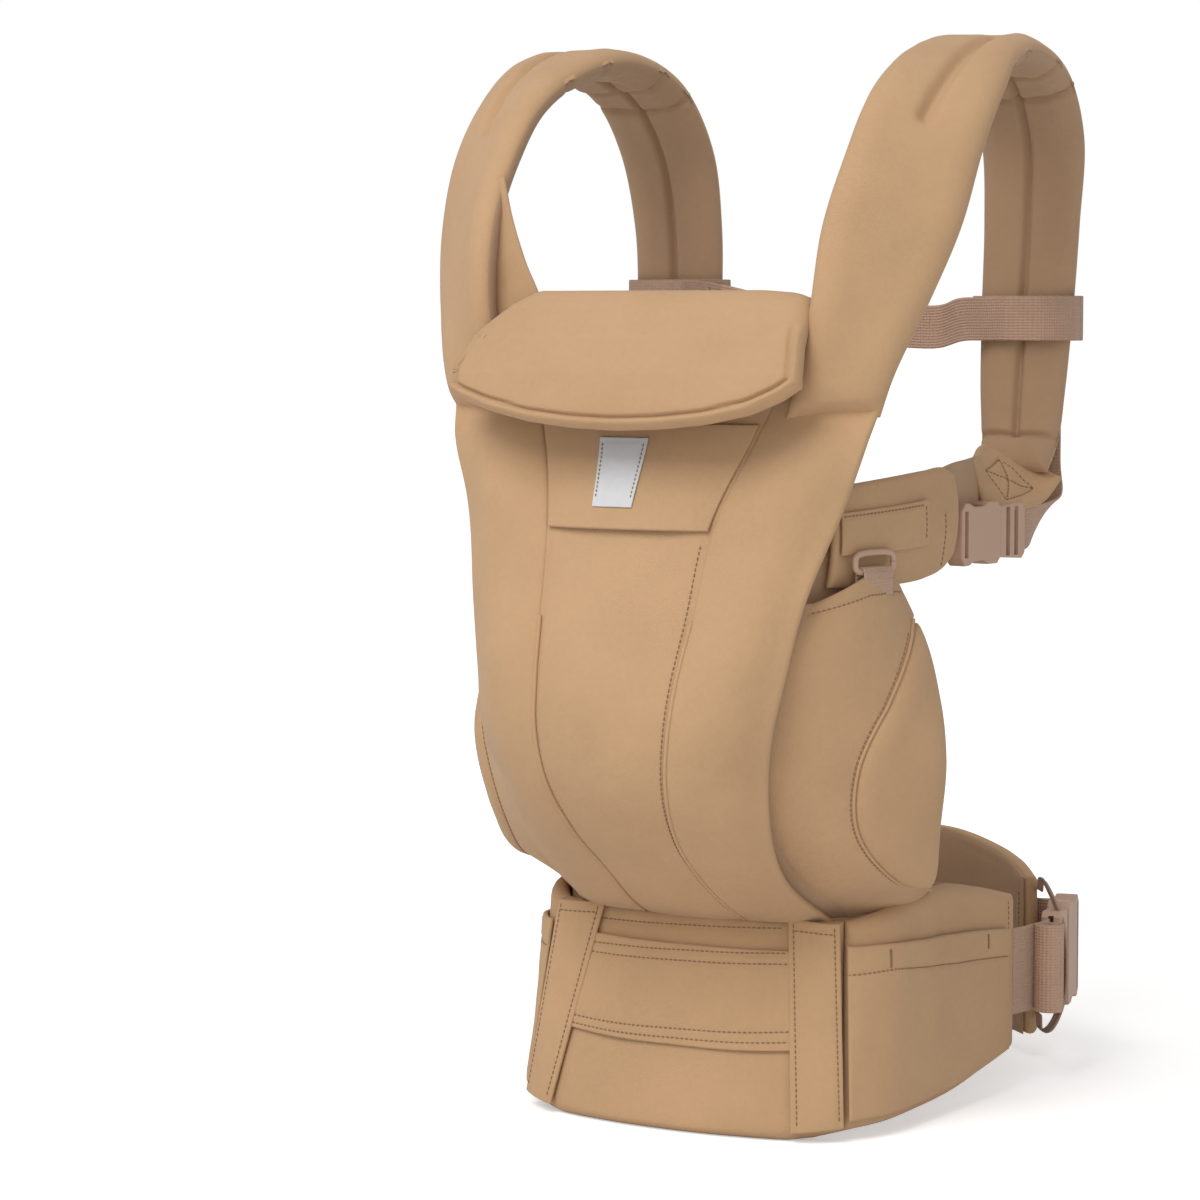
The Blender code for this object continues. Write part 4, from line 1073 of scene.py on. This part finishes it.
def strap(side, name):
    """The padded shoulder strap: cloth outside, lining with seams and puckers inside, its darker lining
    finish painted shade.
    """
    middle = np.array((side * 0.12, 0.08, 0.43))
    face = between(STRAP, side)
    pad = Cloth(face, lambda points: points - middle, 300, 56, tips=(0.006, 0.008))
    pad.thick(0.0086, 0.0084, 0.0155, 2.1)
    start = np.clip(pad.u[:, None] / 0.05, 0, 1)  # flatter where the wing covers its end
    pad.front *= 0.40 + 0.60 * start**2 * (3 - 2 * start)
    pad.crumple(0.0012, 0.07, 81 + side, "both", 0.012)
    pad.groove([(u, 0.5) for u in (0.50, 0.62, 0.75, 0.93)], 0.0042, 0.0022, "back")
    pad.groove([(u, 0.5) for u in (0.28, 0.40, 0.50)], 0.0020, 0.0026, "back")
    for u, depth in ((0.40, 0.0020), (0.455, 0.0030), (0.535, 0.0040), (0.575, 0.0040), (0.93, 0.0034)):
        pad.groove([(u, 0.02), (u + 0.006, 0.5), (u, 0.98)], depth, 0.0020, "back")
    pucker = np.exp(-(((pad.u[:, None] - 0.50) / 0.09) ** 2)) * np.clip(pad.edge / 0.008, 0, 1)
    pad.back += 0.0022 * pucker * rumple(pad.points, 0.016, 85 + side)
    pad.front += 0.0009 * pucker * rumple(pad.points, 0.020, 87 + side)
    fold = [(0.318, 0.50), (0.345, 0.525), (0.385, 0.57), (0.43, 0.62), (0.475, 0.66)]
    pad.groove(fold, 0.0050, 0.0042)
    replaced = (f"strap_{name}_cover", f"strap_{name}_foam", f"strap_{name}_lining")
    # the back faces take the darker lining finish: painted shade on the strap's inner side
    made = sewn(pad, "shoulder_strap_" + name, *replaced, under="lining")


def strap_gusset(side, name):
    """The triangle of cloth between the strap's inner edge and the head support's corner."""
    rows = []
    for (x, y, z), back in STRAP_GUSSET:  # the right one is folded back behind the strap
        tuck = 0.016 * min(max((z - 0.41) / 0.04, 0), 1) if side > 0 else 0.0
        rows.append(((x + tuck, y + 0.2 * tuck, z), back))
    web = Cloth(between(rows, side), (side * 0.2, -1, 0), 60, 30)
    web.thick(0.0013, 0.0013, 0.0016)
    web.crumple(0.0016, 0.03, 91 + side, "both", 0.006)
    made = sewn(web, "strap_gusset_" + name)


# ---------------------------------------------------------------- webbing


def strip(name, path, width, thick, body, *replaced, finish="webbing", steps=8):
    """Webbing along (centre, width direction) places."""
    centres = np.array([centre for centre, _ in path], float)
    across = np.array([way for _, way in path], float)
    across *= width / 2 / np.linalg.norm(across, axis=1, keepdims=True)
    pairs = np.stack([centres - across, centres + across], axis=1)
    surface = between(pairs)
    probe = surface(np.linspace(0, 1, 5), np.array([0.0, 1.0]))
    outward = np.cross(probe[1, 0] - probe[0, 0], probe[0, 1] - probe[0, 0])
    tape = Cloth(surface, outward, steps * (len(path) - 1), 12)
    tape.thick(thick / 2, thick / 2, thick / 2)
    sewn(tape, name, *replaced, finish=finish, body=body, slot="webbing")
    return tape


def soft_square(count, power, width, height):
    """Places round a rectangle with soft corners, from its middle: (sideways, up)."""
    turn = np.linspace(0, 2 * math.pi, count)
    sideways = np.sign(np.cos(turn)) * np.abs(np.cos(turn)) ** power * width
    up = np.sign(np.sin(turn)) * np.abs(np.sin(turn)) ** power * height
    return sideways, up


def seat_ring(side, name):
    """The ring at the side band and the folded tab that holds it."""
    way = (side * 0.23, 0.973, 0.0)
    half_height = 0.0052
    middle = np.array((side * 0.1135, -0.0110, 0.3195))
    ahead = np.array(way) / np.linalg.norm(way)
    reach, rise = soft_square(49, 0.55, 0.0155, half_height)
    loop = middle + ahead * reach[:, None] + np.array((0, 0, 1)) * rise[:, None]
    points, faces = tube(loop, 0.0017, 10)
    made = mesh_object("seat_ring_moulded_" + name, points, faces, FINISH["plastic"], "carrier")
    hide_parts("seat_ring_" + name)
    out = np.array((side, 0.0, 0.0))
    low = middle - np.array((0, 0, half_height))
    outside = [(0.0024, z) for z in (-0.0125, -0.0080, -0.0035, 0.0)]
    inside = [(-0.0024, z) for z in (0.0, -0.0035, -0.0080)]
    route = outside + [(0.0012, 0.0024), (-0.0012, 0.0024)] + inside
    fold = [(low + out * off + np.array((0, 0, z)), way) for off, z in route]
    strip("ring_tab_webbing_" + name, fold, 0.0235, 0.0012, "carrier", "ring_tab_" + name)


def shoulder_sling(side, name):
    """Webbing from the shoulder buckle's plug up behind the strap's lower end."""
    start = Vector((side * 0.1172, 0.0790, 0.3290))
    run = Vector((side * 0.143, 0.990, 0.0)).normalized()
    mouth = start + run * 0.039  # where the webbing leaves the plug
    path = [(mouth + run * reach, (0, 0, 1)) for reach in (0.0060, 0.0120, 0.0180, 0.0240)]
    path += [
        ((side * 0.1290, 0.1540, 0.3300), (side * 0.20, -0.05, 0.97)),
        ((side * 0.1275, 0.1720, 0.3335), (side * 0.55, -0.10, 0.80)),
        ((side * 0.1230, 0.1870, 0.3430), (side * 0.90, -0.05, 0.35)),
        ((side * 0.1175, 0.1950, 0.3620), (side, 0, 0.10)),
        ((side * 0.1155, 0.1990, 0.3880), (side, 0, 0.0)),
        ((side * 0.1145, 0.1990, 0.4020), (side, 0, 0.0)),
    ]
    bends = (tuple(mouth + run * 0.024), (side * 0.1175, 0.195, 0.362))
    follows = ("shoulder_plug_" + name, "carrier", *bends)
    strip("shoulder_sling_" + name, path, WEBBING, 0.0015, follows, "shoulder_webbing_" + name)


CHEST_Y = 0.1893  # the middle of both rear straps
BUCKLE_HEIGHT = 0.4405
LOOP_HEIGHT = {"right": 0.4450, "left": 0.4550}
RUN_ENDS = {"right": (0.0395, 0.0630), "left": (-0.0119, -0.0220)}  # x of the end and of the place before it


def chest_side(side, name):
    """One side of the chest strap: a loop round the rear strap and a run to the buckle."""
    height = LOOP_HEIGHT[name]
    middle = np.array((side * 0.1115, CHEST_Y, height))
    offsets = zip(*soft_square(25, 0.6, 0.0312, 0.0122))
    ring = [(middle + np.array((side * sideways, depth, 0)), (0, 0, 1)) for sideways, depth in offsets]
    strip("chest_loop_" + name, ring, WEBBING, 0.0014, "chest_strap", "chest_webbing_" + name, steps=3)
    last, before = RUN_ENDS[name]
    front = CHEST_Y - 0.0118
    path = [
        ((side * 0.1120, front - 0.0004, height), (-side * 0.04, 0, 1)),
        ((side * 0.0920, front - 0.0004, height - 0.0004), (-side * 0.08, 0, 1)),
        ((side * 0.0760, front - 0.0008, height * 0.8 + BUCKLE_HEIGHT * 0.2), (-side * 0.10, 0, 1)),
        ((before, front + 0.0034 - 0.0010, BUCKLE_HEIGHT), (0, 0, 1)),
        ((last, 0.1737, BUCKLE_HEIGHT), (0, 0, 1)),
    ]
    follows = "chest_strap"
    if side > 0:
        follows = ("chest_plug", "chest_strap", (0.066, 0.178, 0.4405), (0.108, 0.178, 0.4450))
    tape = strip("chest_run_" + name, path, WEBBING - 0.0006, 0.0014, follows)
    thread = Thread()
    for share in (0.36, 0.45):
        thread.follow(tape, [(share, 0.06), (share, 0.94)])
    thread.build("chest_stitching_" + name, follows)


WAIST_LEVEL = 0.0790
ROLL_MIDDLE = (0.1300, 0.1830, WAIST_LEVEL)
TAIL = ((0.1180, 0.1600), (0.1205, 0.1720), (0.1225, 0.1850), (0.1230, 0.2010))  # (x, y)
ANCHOR = ((0.1085, 0.2620), (0.1010, 0.2680), (0.0900, 0.2650), (0.0740, 0.2750))
SAFETY_LOOP = (
    (0.0990, 0.2440, 0.1120),
    (0.1060, 0.2300, 0.1215),
    (0.1160, 0.2180, 0.1165),
    (0.1260, 0.2120, 0.1010),
    (0.1290, 0.2100, 0.0780),
    (0.1270, 0.2110, 0.0540),
    (0.1170, 0.2180, 0.0370),
    (0.1060, 0.2300, 0.0330),
    (0.0990, 0.2440, 0.0400),
)


def waist_webbing():
    tall = (0, 0, 1)
    coil = []
    for turn in np.linspace(0, 4.4 * math.pi, 45):
        radius = 0.0018 + 0.000525 * turn
        way = np.array((math.cos(turn) * radius, math.sin(turn) * radius * 0.85, 0))
        coil.append((np.array(ROLL_MIDDLE) + way, tall))
    strip("waist_roll", coil, WAIST_WEBBING, 0.0016, "carrier", "webbing_roll", steps=2)
    tail = [((x, y, WAIST_LEVEL), tall) for x, y in TAIL]
    strip("waist_tail", tail, WAIST_WEBBING - 0.0010, 0.0016, "carrier", "waist_webbing")
    anchor = [((x, y, WAIST_LEVEL), tall) for x, y in ANCHOR]
    strip("waist_anchor", anchor, WAIST_WEBBING, 0.0016, "belt_rear", "waist_socket_webbing")
    loop = [(place, (-0.6, 0.8, 0)) for place in SAFETY_LOOP]
    strip("safety_sling", loop, 0.012, 0.0014, "belt_rear", "safety_loop", finish="elastic")


# ---------------------------------------------------------------- stage


AMBIENT = 0.52  # strength of the sky that lights the object
FLOOR_GLOW = 0.62  # keeps the far floor as white as the background
NEAR_GLOW = 0.40  # less close by, so that the contact shadow shows
LAMPS = (  # name, place, size, power
    ("key", (-0.3, -2.2, 2.8), 1.8, 60.0),
    ("fill", (1.4, -2.6, 1.0), 1.6, 8.0),
)


def put(name, data, place, target):
    """An object at a place, aimed at a target."""
    made = bpy.data.objects.new(name, data)
    made.location = place
    aim = target - made.location
    made.rotation_euler = aim.to_track_quat("-Z", "Y").to_euler()
    bpy.context.scene.collection.objects.link(made)
    return made


def stage():
    mesh = bpy.data.meshes.new("floor")
    mesh.from_pydata([(-60, -60, 0), (60, -60, 0), (60, 60, 0), (-60, 60, 0)], [], [(0, 1, 2, 3)])
    floor = bpy.data.objects.new("floor", mesh)
    made, tree, shader = material("floor", (0.90, 0.90, 0.90), 0.95)
    shader.inputs["Emission Color"].default_value = (1, 1, 1, 1)
    seen = tree.nodes.new("ShaderNodeLightPath")
    near = tree.nodes.new("ShaderNodeVectorMath")
    near.operation = "LENGTH"
    tree.links.new(tree.nodes.new("ShaderNodeNewGeometry").outputs["Position"], near.inputs[0])
    level = tree.nodes.new("ShaderNodeMapRange")
    level.interpolation_type = "SMOOTHSTEP"
    reach = {"From Min": 0.25, "From Max": 1.2, "To Min": NEAR_GLOW, "To Max": FLOOR_GLOW}
    for name, value in reach.items():
        level.inputs[name].default_value = value
    tree.links.new(near.outputs["Value"], level.inputs["Value"])
    glow = calculate(tree, "MULTIPLY", seen.outputs["Is Camera Ray"], level.outputs["Result"])
    tree.links.new(glow, shader.inputs["Emission Strength"])
    mesh.materials.append(made)
    bpy.context.scene.collection.objects.link(floor)

    world = bpy.data.worlds.new("studio")
    world.use_nodes = True
    tree = world.node_tree
    seen = tree.nodes.new("ShaderNodeLightPath")
    strength = tree.nodes.new("ShaderNodeMapRange")
    strength.inputs["To Min"].default_value = AMBIENT
    strength.inputs["To Max"].default_value = 1.0
    tree.links.new(seen.outputs["Is Camera Ray"], strength.inputs["Value"])
    background = tree.nodes["Background"]
    background.inputs["Color"].default_value = (1, 1, 1, 1)
    tree.links.new(strength.outputs["Result"], background.inputs["Strength"])
    bpy.context.scene.world = world
    bpy.context.scene.view_settings.view_transform = "Standard"

    for name, place, size, energy in LAMPS:
        light = bpy.data.lights.new(name, "AREA")
        light.size = size
        light.energy = energy
        put(name, light, place, Vector((0, 0, 0.3)))

    camera = bpy.data.cameras.new("camera")
    camera.lens = 110.09
    camera.sensor_width = 36.0
    place = Vector((0.93716, -1.72121, 0.44892)) + Vector(SHIFT)
    target = Vector((-0.05976, 0.0055, 0.292)) + Vector(SHIFT)
    bpy.context.scene.camera = put("camera", camera, place, target)


def plastic_nodes():
    """Gives the buckles, which stay as they are in the frame, their material."""
    for name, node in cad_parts.items():
        if ("socket" in name or "plug" in name) and "webbing" not in name:
            node.data.materials.clear()
            node.data.materials.append(FINISH["plastic"])


def main():
    stage()
    belt()
    linings()
    belt_crossing()
    pouch()
    pocket_flap()
    head_support()
    for side, name in SIDES:
        seat_side(side, name)
        side_band(side, name)
        strap(side, name)
        strap_gusset(side, name)
    for side, name in SIDES:
        seat_ring(side, name)
        shoulder_sling(side, name)
        chest_side(side, name)
    waist_webbing()
    plastic_nodes()


main()
